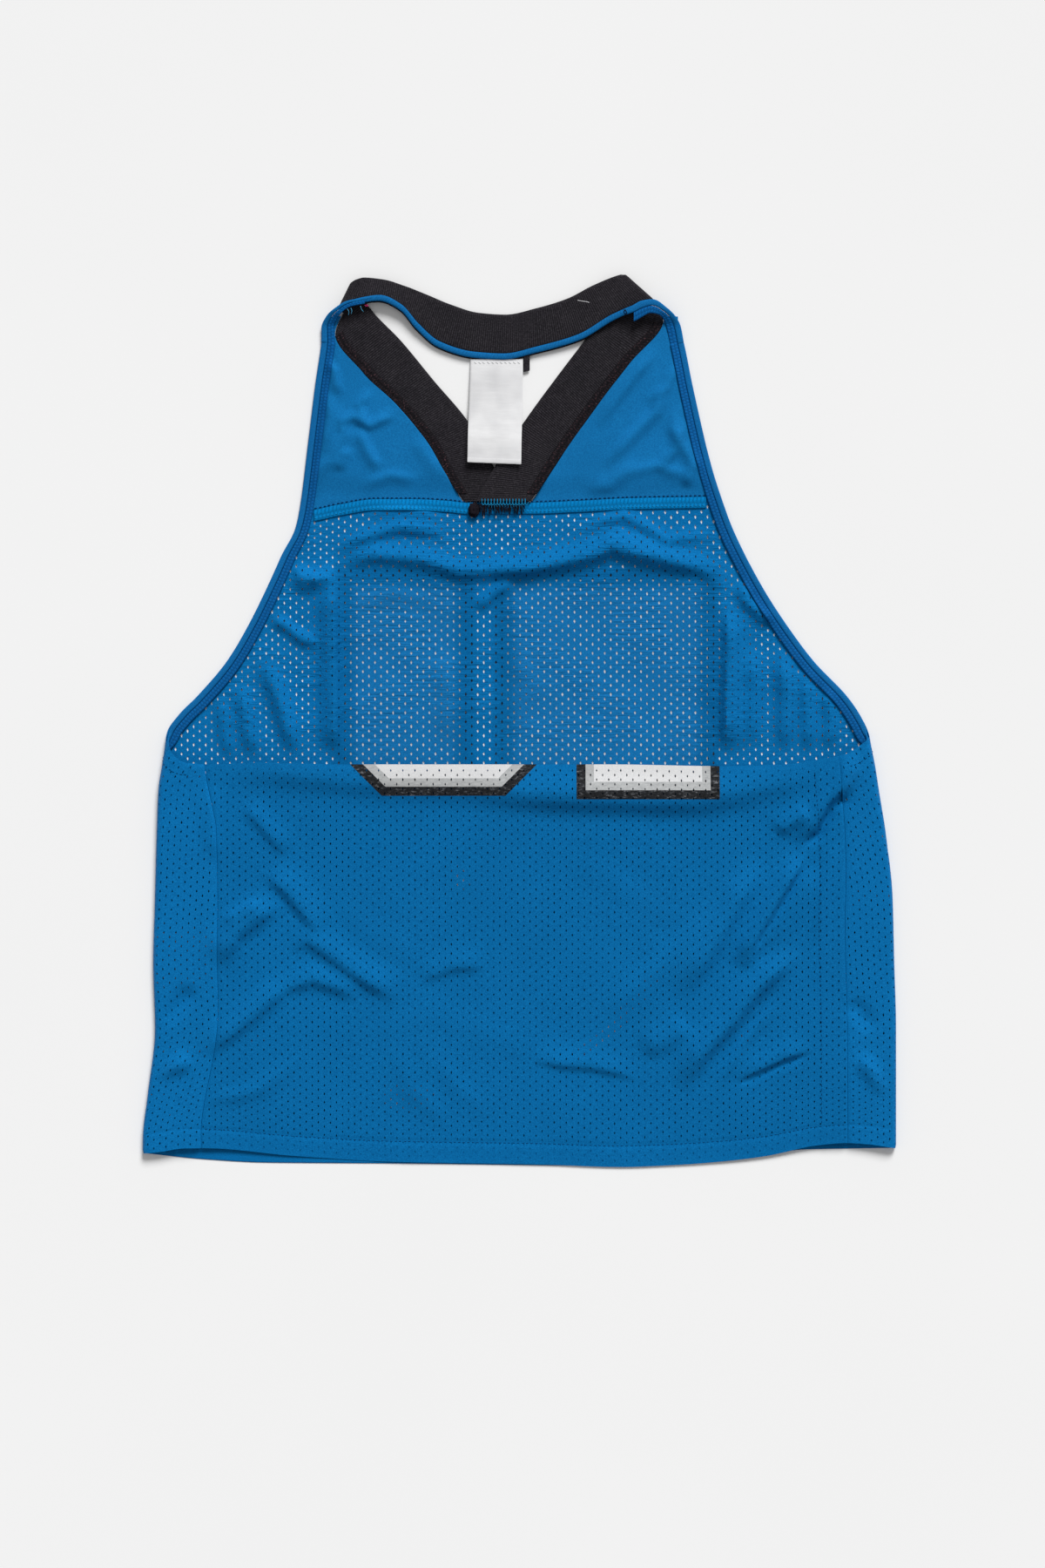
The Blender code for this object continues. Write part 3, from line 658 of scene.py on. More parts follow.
def printed_look(name, colour, blocks):
    """A mesh knit with bordered blocks printed on it, worn where the cloth creases."""
    look = satin_look(name)
    tone, grain = knit_tone(look, colour)
    cracks = look.noise((0.35, 0.9, 0.5), 4.0, 0.7)
    worn = look.ramp(
        cracks, (0.42, linear(18, 19, 22)), (0.55, linear(32, 34, 38)), (0.7, linear(126, 128, 132))
    )
    greys = look.ramp(cracks, (0.35, linear(176, 178, 179)), (0.65, linear(200, 202, 202)))
    whites = look.ramp(grain, (0.2, linear(222, 223, 225)), (0.7, linear(238, 238, 238)))
    rough = look.noise(1.5)
    film = None
    for block in blocks:
        depth = block_depth(look, block)
        shown = look.math("GREATER_THAN", depth, 0.0)
        grey = look.math("GREATER_THAN", depth, block.black)
        white = look.math("GREATER_THAN", depth, block.black + block.grey)
        ink = look.blend(white, look.blend(grey, worn, greys), whites)
        tone = look.blend(shown, tone, ink)
        film = shown if film is None else look.math("MAXIMUM", film, shown)
    look.join(look.blend(film, GLOSS, (0.8, 0.8, 0.8, 1)), look.shader.inputs["Specular Tint"])
    knit = look.bump(knit_height(look, grain), 0.1)
    raised = look.bump(look.math("ADD", film, look.math("MULTIPLY", rough, 0.2)), 0.12, knit)
    return look.wear(tone, raised, look.math("SUBTRACT", 0.62, look.math("MULTIPLY", film, 0.25)))


def backed_look(name, colour, blocks):
    """The inside of a mesh knit, darker where a block's borders lie behind it.

    Its shade attribute is low between the two layers and paints shade there, where little light
    gets in.
    """
    look = satin_look(name, 0.55)
    tone, grain = knit_tone(look, colour)
    for block in blocks:
        depth = block_depth(look, block)
        behind = look.soft_step(depth, 0.0, 6.0)
        clear = look.soft_step(depth, block.black + block.grey, 6.0)
        edge = look.math("SUBTRACT", behind, clear)
        tone = look.blend(look.math("MULTIPLY", edge, 0.26), tone, (*linear(4, 66, 112), 1))
        tone = look.blend(look.math("MULTIPLY", clear, 0.03), tone, (*linear(120, 172, 206), 1))
    # painted shade: the front's inside made darker where its shade attribute is low, between the
    # two layers
    tone = look.shaded(tone, (0, 0, 0), (1, 1, 1))
    lines = look.noise((0.035, 0.42, 0.3), 3.0, 0.55)
    y = look.node("SeparateXYZ", Vector=look.coordinates(1)).outputs["Y"]
    shown = look.soft_step(y, BACK_ROW + 12, 20.0)
    rumpled = look.soft_step(look.noise(0.03, 1.0), 0.48, 0.2)
    lines = look.math("MULTIPLY", lines, look.math("MULTIPLY", shown, rumpled))
    return look.wear(tone, look.bump(lines, 1.3, look.bump(knit_height(look, grain), 0.07)))


# ---------------------------------------------------------------- mesh building


def smooth_normals(points, faces):
    """Unit normal at each point of a triangle mesh."""
    a, b, c = (points[faces[:, i]] for i in range(3))
    flat = np.cross(b - a, c - a)
    total = np.zeros_like(points)
    for i in range(3):
        np.add.at(total, faces[:, i], flat)
    return unit(total)


def make_piece(name, points, faces, material, sharp=55):
    """A mesh piece that rides on the body."""
    mesh = bpy.data.meshes.new(name)
    mesh.from_pydata((np.asarray(points) * MM).tolist(), [], faces)
    mesh.materials.append(material)
    mesh.shade_smooth()
    mesh.set_sharp_from_angle(angle=math.radians(sharp))
    mesh.update()
    piece = bpy.data.objects.new(name, mesh)
    bpy.context.scene.collection.objects.link(piece)
    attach(piece, "root")
    return piece


def write_shade(piece, values):
    """Keeps each point's painted light and shade: how light its material is made there."""
    kept = piece.data.attributes.new("shade", "FLOAT", "POINT")
    kept.data.foreach_set("value", np.asarray(values).ravel().astype(np.float32))


def shell(outer, faces, wall, inward):
    """Closes a sheet of triangles with a second face, wall away along its normals."""
    normals = smooth_normals(outer, faces) * inward
    count = len(outer)
    points = np.concatenate([outer, outer + normals * wall])
    edges = np.concatenate([faces[:, [0, 1]], faces[:, [1, 2]], faces[:, [2, 0]]])
    keys = np.sort(edges, axis=1)
    _, first, uses = np.unique(keys, axis=0, return_index=True, return_counts=True)
    rim = edges[first[uses == 1]]
    quads = np.stack([rim[:, 1], rim[:, 0], rim[:, 0] + count, rim[:, 1] + count], 1)
    out, back = faces, faces[:, ::-1] + count
    if inward > 0:
        out, back, quads = faces[:, ::-1], faces + count, quads[:, ::-1]
    return points, [*out.tolist(), *back.tolist(), *quads.tolist()]


def inside(polygon, points):
    """Which points lie in a polygon."""
    x, y = points[:, 0], points[:, 1]
    found = np.zeros(len(points), bool)
    for (ax, ay), (bx, by) in zip(polygon, np.roll(polygon, -1, axis=0)):
        if ay != by:
            crosses = (ay > y) != (by > y)
            found ^= crosses & (x < (bx - ax) * (y - ay) / (by - ay) + ax)
    return found


def edge_distance(polygon, points):
    """Distance from points to a polygon's edges."""
    nearest = np.full(len(points), 1e9)
    for a, b in zip(polygon, np.roll(polygon, -1, axis=0)):
        step = b - a
        t = np.clip(((points - a) @ step) / max(step @ step, 1e-12), 0, 1)
        nearest = np.minimum(nearest, np.linalg.norm(points - a - t[:, None] * step, axis=1))
    return nearest


def hole_centres(border, margin, slip):
    """Centres of the staggered holes that fit inside a border."""
    low, high = border.min(0), border.max(0)
    columns = np.arange(math.floor(low[0] / HOLE_COLUMN), math.ceil(high[0] / HOLE_COLUMN))
    steps = np.arange(math.floor(low[1] / HOLE_STEP) - 1, math.ceil(high[1] / HOLE_STEP) + 1)
    i, j = [part.ravel() for part in np.meshgrid(columns, steps, indexing="ij")]
    centres = np.stack([i * HOLE_COLUMN, (j + (i % 2) / 2) * HOLE_STEP], 1) + slip
    centres = centres[inside(border, centres)]
    return centres[edge_distance(border, centres) > margin]


def perforated(border, centres, extra, hole, seed):
    """Triangles of a flat cloth with a border and an eye at each centre."""
    draw = np.random.default_rng(seed)
    sizes = draw.uniform(*HOLE_SIZES, (len(centres), 1, 2))
    eye = np.array([(0, -1), (1, 0), (0, 1), (-1, 0)]) * np.reshape(hole, (-1, 1, 2))
    corners = (centres[:, None] + eye * sizes).reshape(-1, 2)
    sides = eye.shape[1]
    places = np.concatenate([corners, border, extra])
    owner = np.repeat(np.arange(len(centres)), sides)
    first = np.arange(len(corners)).reshape(-1, sides)
    edges = np.stack([first, np.roll(first, -1, axis=1)], -1).reshape(-1, 2)
    ring = np.arange(len(border)) + len(corners)
    edges = np.concatenate([edges, np.stack([ring, np.roll(ring, -1)], 1)])
    found = delaunay_2d_cdt(
        [Vector(p) for p in places.tolist()], edges.tolist(), [], 0, 1e-4, True
    )
    flat = np.array([tuple(p) for p in found[0]])
    faces = np.array(found[2])
    source = np.array([min(names) if names else -1 for names in found[3]])
    holes = np.full(len(flat), -1)
    holes[source >= 0] = np.append(owner, np.full(len(border) + len(extra), -1))[
        source[source >= 0]
    ]
    kinds = holes[faces]
    in_hole = (kinds[:, 0] >= 0) & (kinds == kinds[:, :1]).all(1)
    faces = faces[~in_hole]
    on_border = (source[faces] >= len(corners)).all(1)
    middles = flat[faces].mean(1)
    outside = np.zeros(len(faces), bool)
    outside[on_border] = ~inside(border, middles[on_border])
    faces = faces[~outside]
    used, faces = np.unique(faces, return_inverse=True)
    return flat[used], faces.reshape(-1, 3)


def along_line(start, end, step):
    """Points from start to just before end."""
    start, end = np.array(start, float), np.array(end, float)
    count = max(1, round(np.linalg.norm(end - start) / step))
    return start + (end - start) * np.arange(count)[:, None] / count


CROWDED = 0.6         # how much closer together a strip's columns are at its edges
# Painted shade: the even shade attribute of a strip without a texture.
PLAIN_SHADE = 0.7     # how light a strip without a texture is


def strip_piece(
    name, place, rows, columns, wall, material, round_share=0.1, texture=None, sharp=80,
):
    """A closed strip with rounded edges.

    place gives the middle of its wall by shares across and along. texture gives what is
    added to the half wall, and the strip's painted light and shade, by the same shares.
    """
    a = (1 - np.cos(np.linspace(0, math.pi, columns + 1))) / 2
    a = mix(np.linspace(0, 1, columns + 1), a, CROWDED)
    t = np.linspace(0, 1, rows + 1)
    across, along = np.meshgrid(a, t)
    middle = place(across, along)
    normal = unit(np.cross(np.gradient(middle, axis=1), np.gradient(middle, axis=0)))
    near = np.minimum(across, 1 - across) / round_share
    half = np.sqrt(np.clip(1 - (1 - np.clip(near, 0, 1)) ** 2, 0, 1)) * wall / 2
    shade = np.full(across.shape, PLAIN_SHADE)
    if texture is not None:
        relief_here, shade = texture(across, along)
        half = half + relief_here * np.clip(near, 0, 1)
    top = middle + normal * half[..., None]
    low = middle - normal * half[..., None]
    ring = np.concatenate([top, low[:, -2:0:-1]], axis=1)
    around = ring.shape[1]
    index = np.arange(ring.shape[0] * around).reshape(ring.shape[0], around)
    here, there = index[:-1], index[1:]
    quads = np.stack(
        [here, np.roll(here, -1, axis=1), np.roll(there, -1, axis=1), there], -1
    ).reshape(-1, 4)
    faces = quads.tolist()
    for ring_index, flip in ((index[0], True), (index[-1], False)):
        for j in range(columns):
            low_a = ring_index[-j] if j else ring_index[0]
            face = [ring_index[j], ring_index[j + 1], ring_index[-j - 1], low_a]
            face = list(dict.fromkeys(int(i) for i in face))
            faces.append(face[::-1] if flip else face)
    piece = make_piece(name, ring.reshape(-1, 3), faces, material, sharp)
    write_shade(piece, np.concatenate([shade, shade[:, -2:0:-1]], axis=1))
    return piece


# ---------------------------------------------------------------- panels

BLUE_MESH = linear(12, 114, 179)
BLUE_KNIT = linear(21, 112, 172)
BLUE_BINDING = linear(18, 102, 162)
BLUE_SERGED = linear(2, 124, 190)

mesh_back = printed_look("Mesh blue outside", BLUE_MESH, BACK_BLOCKS)
mesh_front = backed_look("Mesh blue inside", BLUE_MESH, FRONT_BLOCKS)
mesh_hem = knit_look("Mesh blue hem", BLUE_MESH)
knit_blue = knit_look("Knit blue", BLUE_KNIT, 0.05, spread=0.07)
binding_blue = braid_look("Binding blue", BLUE_BINDING, 0.62)
loops_blue = braid_look("Overlock blue", linear(12, 92, 156), 0.5)
serged_blue = braid_look("Overlock light blue", BLUE_SERGED, 0.5)
thread_dark = thread_look("Thread dark blue", linear(6, 52, 96))
thread_blue = thread_look("Thread blue", linear(8, 68, 118))
thread_teal = thread_look("Thread teal", linear(30, 140, 190))


def front_border():
    """The front's cut edge: hem, side strips, armholes and yoke seam."""
    heights = np.concatenate([
        np.arange(HEM_ROW, -27, EDGE_STEP), [-26, -25.5, -25, -24, -23, -22, -21, -20.5],
        np.arange(-20, 2, CURL_STEP), np.arange(2, SEAM_ROW, ARM_STEP),
    ])
    left, right = (np.stack([cloth_edge(side, heights), heights], 1) for side in (LEFT, RIGHT))
    top = [(outline[side](SEAM_ROW), SEAM_ROW) for side in (LEFT, RIGHT)]
    top = np.concatenate([along_line(*top, EDGE_STEP), top[1:]])
    low = along_line(left[0], right[0], EDGE_STEP)[1:]
    return np.concatenate([low, right, top[::-1], left[::-1]])


def fold_points():
    """Places that follow the curl of the side folds."""
    found = []
    for side in (LEFT, RIGHT):
        for v in np.arange(HEM_ROW + 2, 0, FOLD_STEP):
            radius = float(fold_radius[side](v))
            most = float(reach[side](v)) - 1
            for turn in np.arange(0.0, math.pi + 0.1, FOLD_ANGLE):
                if radius * turn < most:
                    found.append((float(fold_start(side, v)) + side * radius * turn, v))
    return np.array(found)


def line_points(border):
    """Places along the hem's stitches and beside the side seams."""
    found = []
    low, high = border[:, 0].min(), border[:, 0].max()
    for away in (-1.5, 0.0, 1.5):
        across = np.arange(low + 1, high - 1, LINE_STEP)
        found.append(np.stack([across, np.full_like(across, HEM_ROW + HEM_DEPTH + away)], 1))
    heights = np.arange(HEM_ROW + 1, BACK_ROW, LINE_STEP)
    for side in (LEFT, RIGHT):
        start = fold_start(side, heights)
        for in_from in (0.9, 2.2):
            back = side_seam(side, heights) - side * in_from
            front = start + side * (reach[side](heights) - in_from)
            found += [np.stack([back, heights], 1), np.stack([front, heights], 1)]
        inner = side_seam(side, heights) - ALLOWANCE[side]
        if side == LEFT:
            inner = start - (math.pi * fold_radius[side](heights) + inner - start)
        for away in (-0.6, 1.2):
            found.append(np.stack([inner + away, heights], 1))
    return np.concatenate(found)


def crease_points(creases, step, shares):
    """Places along creases, at shares of their spread to the left and right."""
    found = []
    for crease in creases:
        path = curve_through(crease.points, 1 + round(run_length(crease.points)[-1] / step))
        run = unit(np.gradient(path, axis=0))
        aside = np.stack([-run[:, 1], run[:, 0]], 1)
        for share in shares:
            found.append(path + aside * share * (crease.left if share > 0 else crease.right))
    return np.concatenate(found)


def clear_points(points, border, centres):
    """The points inside a border that keep clear of it and of every hole."""
    points = points[inside(border, points)]
    kept = []
    for start in range(0, len(points), 200):
        part = points[start:start + 200]
        away = (part[:, None] - centres[None]) / (1, 1.6)
        kept.append(part[np.linalg.norm(away, axis=2).min(1) > HOLE_CLEAR])
    kept = np.concatenate(kept)
    return kept[edge_distance(border, kept) > EDGE_CLEAR]


def make_front():
    border = front_border()
    centres = hole_centres(border, FRONT_MARGIN, FRONT_SLIP)
    aligned = np.clip(relief(ALIGNED, centres[:, 0], centres[:, 1]), 0, 1)[:, None]
    centres = centres + aligned * (np.array(BACK_SLIP) - FRONT_SLIP)
    along = crease_points(FRONT_CREASES, *FRONT_MARKS)
    extra = np.concatenate([fold_points(), line_points(border), along])
    extra = clear_points(extra, border, centres)
    u, v = centres.T
    turned = (u < fold_start(LEFT, v)) | (u > fold_start(RIGHT, v)) | (v < BACK_ROW - 6)
    creased = np.clip(np.abs(relief(FRONT_CREASES, u, v)) / 1.1, 0, 1)
    open_share = np.where(turned, ALIGNED_OPEN * aligned[:, 0], 1 - creased)[:, None]
    hole = mix(np.array(BACK_HOLE), np.array(FRONT_HOLE), open_share)
    flat, faces = perforated(border, centres, extra, hole, 3)
    outer = front_place(flat[:, 0], flat[:, 1])
    points, closed = shell(outer, faces, MESH_WALL, 1)
    piece = make_piece("front_cloth", points, closed, mesh_front)
    u, v = flat.T
    # painted shade on the points of the front's inside that the back covers
    covered = (v > HEM_ROW + HEM_DEPTH + 2) & (v < BACK_ROW - 3)
    covered &= (u > fold_start(LEFT, v)) & (u < fold_start(RIGHT, v))
    write_shade(piece, np.append(np.ones(len(flat)), np.where(covered, COVERED_SHADE, 1)))
    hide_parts("front_panel")


def back_border():
    """The back's cut edge: hem, side seams and the straight top."""
    heights = np.arange(HEM_ROW, BACK_ROW + 0.5, BACK_STEP)
    heights[-1] = BACK_ROW

    def seam(side):
        y = heights + top_shift(side_seam(side, heights), heights)
        return np.stack([side_seam(side, y) - side * 0.15, heights], 1)

    left, right = seam(LEFT), seam(RIGHT)
    low = along_line(left[0], right[0], BACK_STEP)[1:]
    top = along_line(right[-1], left[-1], BACK_STEP)[1:]
    return np.concatenate([low, right, top, left[::-1]])


def make_back():
    border = back_border()
    centres = hole_centres(border, BACK_MARGIN, BACK_SLIP)
    along = crease_points(BACK_CREASES, *BACK_MARKS)
    extra = clear_points(np.concatenate([line_points(border), along]), border, centres)
    flat, faces = perforated(border, centres, extra, BACK_HOLE, 5)
    outer = back_place(flat[:, 0], flat[:, 1])
    points, closed = shell(outer, faces, MESH_WALL, -1)
    piece = make_piece("back_cloth", points, closed, mesh_back)
    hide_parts("back_panel")


# ---------------------------------------------------------------- neckband

# A section of the band: its free edge, then its sewn edge.
Band = namedtuple("Band", "fx fy fz sx sy sz")
BAND_LEFT = [Band(*row) for row in [
    (-4, 124.8, 0, -32, 124.8, 0), (-15.5, 146, 0, -43, 142, 0),
    (-29, 170, 0, -52, 158, 0), (-49, 194, 0, -70, 180, 0),
    (-68, 217, 0, -90, 199.5, 0), (-86, 236, 0, -105.5, 221, 0),
]]
BAND_RIGHT = [Band(*row) for row in [
    (-25, 124.8, 2.6, 6.5, 124.8, 2), (-14, 145, 2.5, 16, 139, 0.4),
    (3, 171, 0.2, 26, 154, 0), (22, 197, 0, 43, 178, 0),
    (41, 222, 0, 63, 204, 0), (54, 240, 0, 82.5, 229, 0),
]]
BAND_BACK = [Band(*row) for row in [
    (-89, 253, 5.2, -93, 240, 7), (-78, 252, 4.8, -80, 242, 6.6),
    (-66, 248.5, 3.6, -68, 237, 5.2), (-52, 243, 2.6, -58, 226, 3.6),
    (-40, 238, 2.2, -46, 216, 2.5), (-23, 233, 2.2, -26, 210, 2.4),
    (-8, 232, 2.2, -9, 209, 2.4), (9, 235.5, 2.3, 10, 213, 2.6),
    (27, 241, 2.6, 34, 220, 3.2), (43, 249, 3.8, 54, 231.5, 5),
]]
# Where the band turns over at a shoulder: each edge with its radius, and the way out.
Shoulder = namedtuple("Shoulder", "fx fy f_radius sx sy s_radius out_x out_y")
SHOULDER_LEFT = Shoulder(-96.6, 250.6, 2.5, -104.3, 234.8, 3.2, -0.9, -0.43)
SHOULDER_RIGHT = Shoulder(60.5, 255.2, 2.5, 77.5, 240, 3.2, 0.95, 0.2)
TURN_STEPS, TURN_LEAD = 7, 3.0
RIB_PITCH, RIB_ROWS = 1.2, 6  # from rib to rib, and how many rows of points each has
RIB_RELIEF = 0.2


def shoulder_section(shoulder, side, angle, lead):
    """Section of the band at an angle of its turn, or at a lead before the turn."""
    line = np.array((shoulder.sx - shoulder.fx, shoulder.sy - shoulder.fy))
    line /= np.linalg.norm(line)
    out = np.array((-line[1], line[0])) * side
    if angle > math.pi / 2:
        out = np.array((shoulder.out_x, shoulder.out_y))
    values = []
    for x, y, radius in (shoulder[:3], shoulder[3:6]):
        back = radius * (1 - math.sin(angle)) + lead
        values += [x - out[0] * back, y - out[1] * back, radius * (1 - math.cos(angle))]
    return Band(*values)


def shoulder_turn(shoulder, side):
    angles = [math.pi * step / (TURN_STEPS - 1) for step in range(TURN_STEPS)]
    turn = [shoulder_section(shoulder, side, angle, 0) for angle in angles]
    return [shoulder_section(shoulder, side, 0, TURN_LEAD)] + turn


class Stretch:
    """A stretch of the neckband, through its sections: free and sewn edge of the outer face."""

    def __init__(self, sections):
        rows = np.array(sections, float)
        middles = (rows[:, :3] + rows[:, 3:]) / 2
        far = run_length(middles)
        self.curves = [profile(np.column_stack([far, rows]), i + 1) for i in range(6)]
        self.length = far[-1]

    def at(self, along):
        values = [curve(along * self.length) for curve in self.curves]
        return np.stack(values[:3], -1), np.stack(values[3:], -1)

    def place(self, across, along):
        """The band's outer face, from the free edge to the sewn edge."""
        free, sewn = self.at(along)
        return free + (sewn - free) * across[..., None]

    def sewn_x(self, y):
        """x of the sewn edge at a height."""
        along = np.linspace(0, 1, 400)
        sewn = self.at(along)[1]
        return np.interp(y, sewn[:, 1], sewn[:, 0])


def middle_of(place, depth):
    """The middle of a wall whose outer face is place, depth under it."""

    def moved(across, along):
        e = 0.002
        da = place(np.clip(across + e, 0, 1), along) - place(np.clip(across - e, 0, 1), along)
        dt = place(across, np.clip(along + e, 0, 1)) - place(across, np.clip(along - e, 0, 1))
        return place(across, along) + unit(np.cross(da, dt)) * depth

    return moved


def rib_texture(length):
    """Ribs across the band, which fade out at its two edges, with painted shade in their grooves
    and painted highlight on their crests.
    """

    def texture(across, along):
        wave = np.abs(np.sin(math.pi * along * length / RIB_PITCH))
        edge = ease(np.minimum(across, 1 - across) / 0.06)
        return RIB_RELIEF * (wave**0.7 - 0.7) * edge, wave * edge + 0.6 * (1 - edge)

    return texture


def rib_look():
    look = Look("Rib black", 0.9, 0.05, 0.05)
    fuzz = look.noise(1.3, 4.0, 0.65)
    tone = look.ramp(
        fuzz, (0.28, linear(24, 23, 26)), (0.5, linear(37, 35, 39)), (0.74, linear(60, 58, 62))
    )
    patches = look.ramp(look.noise(0.05), (0.3, (0.85, 0.85, 0.86)), (0.7, (1.1, 1.08, 1.08)))
    tone = look.blend(1.0, tone, patches, "MULTIPLY")
    # painted shade in the ribs' grooves and painted highlight on their crests, by the shade
    # attribute
    tone = look.shaded(tone, (0.35,) * 3, (1.45, 1.45, 1.47), 0.1)
    return look.wear(tone, look.bump(fuzz, 0.25))


def serged_look():
    """Black overlock thread with reddish flecks."""
    look = Look("Overlock black", 0.9, specular=0.05)
    specks = look.noise(0.9, 3.0, 0.7)
    tone = look.ramp(
        specks, (0.35, linear(20, 19, 22)), (0.58, linear(34, 31, 35)), (0.74, linear(100, 66, 70))
    )
    # painted shade between the overlock loops and painted highlight on them, by the shade attribute
    return look.wear(look.shaded(tone, (0.4,) * 3, (1.25,) * 3), look.bump(specks, 0.3))


stretches = {
    "left": Stretch(BAND_LEFT + [shoulder_section(SHOULDER_LEFT, LEFT, 0, 0.4)]),
    "right": Stretch(BAND_RIGHT + [shoulder_section(SHOULDER_RIGHT, RIGHT, 0, 0.4)]),
    "back": Stretch(
        shoulder_turn(SHOULDER_LEFT, LEFT) + BAND_BACK + shoulder_turn(SHOULDER_RIGHT, RIGHT)[::-1]
    ),
}
rib_black = rib_look()
serged_black = serged_look()
fringe_dark = thread_look("Fringe dark", linear(30, 26, 32), 0.9)
thread_white = thread_look("Thread white", linear(232, 232, 234))
film_look = printed_look("Print film", BLUE_MESH, FRONT_BLOCKS)


def make_neckband():
    """The three stretches of the doubled rib band."""
    for name, turned in (("left", -1), ("right", 1), ("back", -1)):
        stretch = stretches[name]
        rows = round(stretch.length / RIB_PITCH) * RIB_ROWS

        def place(across, along, stretch=stretch):
            return stretch.place(across, along) + (0, 0, FLOOR_GAP)

        piece = strip_piece(
            f"neckband_{name}", middle_of(place, turned * RIB_WALL / 2), rows, 14, RIB_WALL,
            rib_black, 0.07, rib_texture(stretch.length), sharp=70,
        )
        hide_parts(f"collar_{name}")


# ---------------------------------------------------------------- threads


Stitch = namedtuple("Stitch", "length width height gap")
RIM_THREAD = Stitch(1.5, 0.34, 0.22, 0.9)
YOKE_THREAD = Stitch(1.6, 0.75, 0.4, 1.0)
ALLOWANCE_THREAD = Stitch(1.5, 0.35, 0.2, 0.9)
HEM_THREAD = Stitch(1.7, 0.36, 0.22, 0.9)
LABEL_THREAD = Stitch(1.6, 0.4, 0.25, 0.9)
UNEVEN = 0.12         # by which share of its length a stitch lies out of step


def along_path(path, up):
    """Finds a place, its run and its up direction by the length along a path."""
    path, up = np.asarray(path, float), np.asarray(up, float)
    far = run_length(path)

    def at(length):
        point = np.stack([np.interp(length, far, path[:, i]) for i in range(3)], -1)
        normal = np.stack([np.interp(length, far, up[:, i]) for i in range(3)], -1)
        return point, normal

    return at, far[-1]


def stitch_row(name, path, up, stitch, material, seed, slant=0.0):
    """A row of stitches along a path."""
    at, total = along_path(path, up)
    length, width, height, gap = stitch
    draw = np.random.default_rng(seed)
    starts = np.arange(0.3, total - length, length + gap)
    starts += draw.uniform(-UNEVEN, UNEVEN, len(starts)) * length
    rings = []
    for share, wide, high in ((0, 0, -0.3), (0.22, 1, 0.75), (0.78, 1, 0.75), (1, 0, -0.3)):
        middle, normal = at(starts + share * length)
        ahead, _ = at(starts + share * length + 0.05)
        behind, _ = at(starts + share * length - 0.05)
        aside = unit(np.cross(unit(ahead - behind), normal))
        middle = middle + aside * slant * (share - 0.5)
        lift = normal * height * high
        if wide:
            for x, z in ((1, 0), (0, 1), (-1, 0), (0, -1)):
                rings.append(middle + lift + aside * x * width / 2 + normal * z * height / 2)
        else:
            rings.append(middle + lift)
    points = np.stack(rings, 1)
    pattern = [(0, 1 + (j + 1) % 4, 1 + j) for j in range(4)]
    pattern += [(1 + j, 1 + (j + 1) % 4, 5 + (j + 1) % 4, 5 + j) for j in range(4)]
    pattern += [(9, 5 + j, 5 + (j + 1) % 4) for j in range(4)]
    faces = [
        tuple(base + i for i in face)
        for base in range(0, len(points) * 10, 10) for face in pattern
    ]
    return make_piece(name, points.reshape(-1, 3), faces, material, sharp=120)


def tubes(name, paths, radius, material, sides=6):
    """Threads: closed tubes along paths, each tapered at both ends."""
    points, faces = [], []
    for path in paths:
        path = np.asarray(path, float)
        run = unit(np.gradient(path, axis=0))
        first = unit(np.cross(run, (0.12, 0.2, 0.97)))
        second = np.cross(run, first)
        base, count = len(points), len(path)
        for i in range(count):
            thick = radius * (0.35 if i in (0, count - 1) else 1)
            for j in range(sides):
                turn = 2 * math.pi * j / sides
                aside = math.cos(turn) * first[i] + math.sin(turn) * second[i]
                points.append(path[i] + thick * aside)
        for i in range(count - 1):
            for j in range(sides):
                a, b = base + i * sides + j, base + i * sides + (j + 1) % sides
                faces.append((a, b, b + sides, a + sides))
        faces.append(tuple(base + j for j in range(sides))[::-1])
        faces.append(tuple(base + (count - 1) * sides + j for j in range(sides)))
    return make_piece(name, points, faces, material, sharp=120)


def curve_through(points, count):
    """Even places on a smooth curve through points."""
    rows = np.column_stack([run_length(points), points])
    along = np.linspace(0, rows[-1, 0], count)
    return np.stack([profile(rows, i)(along) for i in range(1, rows.shape[1])], -1)


# ---------------------------------------------------------------- yokes and bindings

YOKE_TOP, YOKE_ROWS, YOKE_COLUMNS = 231.0, 110, 60
ARM_TOP, ARM_WIDE = 216.0, 8.0
ARM_END = {LEFT: -25.4, RIGHT: -20.6}
BINDING_WALL, LOOPS_WALL = 1.3, 1.1
RIM_STITCH = 6.7      # from the strip's rim to its stitches
BINDING_SHARE = 0.45  # how much of the binding's width is its smooth tape
STRIP_STEP, SERGED_STEP = 0.33, 0.3  # between the rows of a strip's points
NECK_FROM, NECK_TO = 0.085, 0.925  # the part of the band's back that its strip runs along
SERGED_FROM, SERGED_TO = 0.04, 0.9  # and the part of its fronts that the serging does
ALLOWANCE_DEEP, ALLOWANCE_IN = 6.8, 8.5  # the yoke seam's allowance: its width, and its ends

# The bindings' ends, which turn up onto the back of the neckband: the outer and the inner
# edge, and their height.
TURN_LEFT = [
    (-113.6, 224.5, -106.2, 225.2, 2.4), (-110.4, 231.1, -104.4, 229, 4.4),
    (-105.6, 235.2, -102.2, 232, 6.6), (-99.1, 239, -97.1, 235.6, 7.3),
    (-90, 240.9, -89.3, 237.3, 7.3), (-84, 242, -84, 238.4, 7.0),
]
TURN_RIGHT = [
    (92.4, 225.5, 83.9, 225.6, 2.5), (89.5, 230.6, 82.2, 229.2, 4.4),
    (85, 234.9, 79.8, 231.3, 6.4), (76.3, 240, 74.8, 232, 8.0), (70, 239.2, 69.5, 229.4, 8.0),
    (65.4, 236.9, 65.2, 227.3, 7.8), (62.4, 234.8, 62.4, 227.6, 7.6),
    (60.8, 232.6, 60.8, 229.8, 7.4),
]


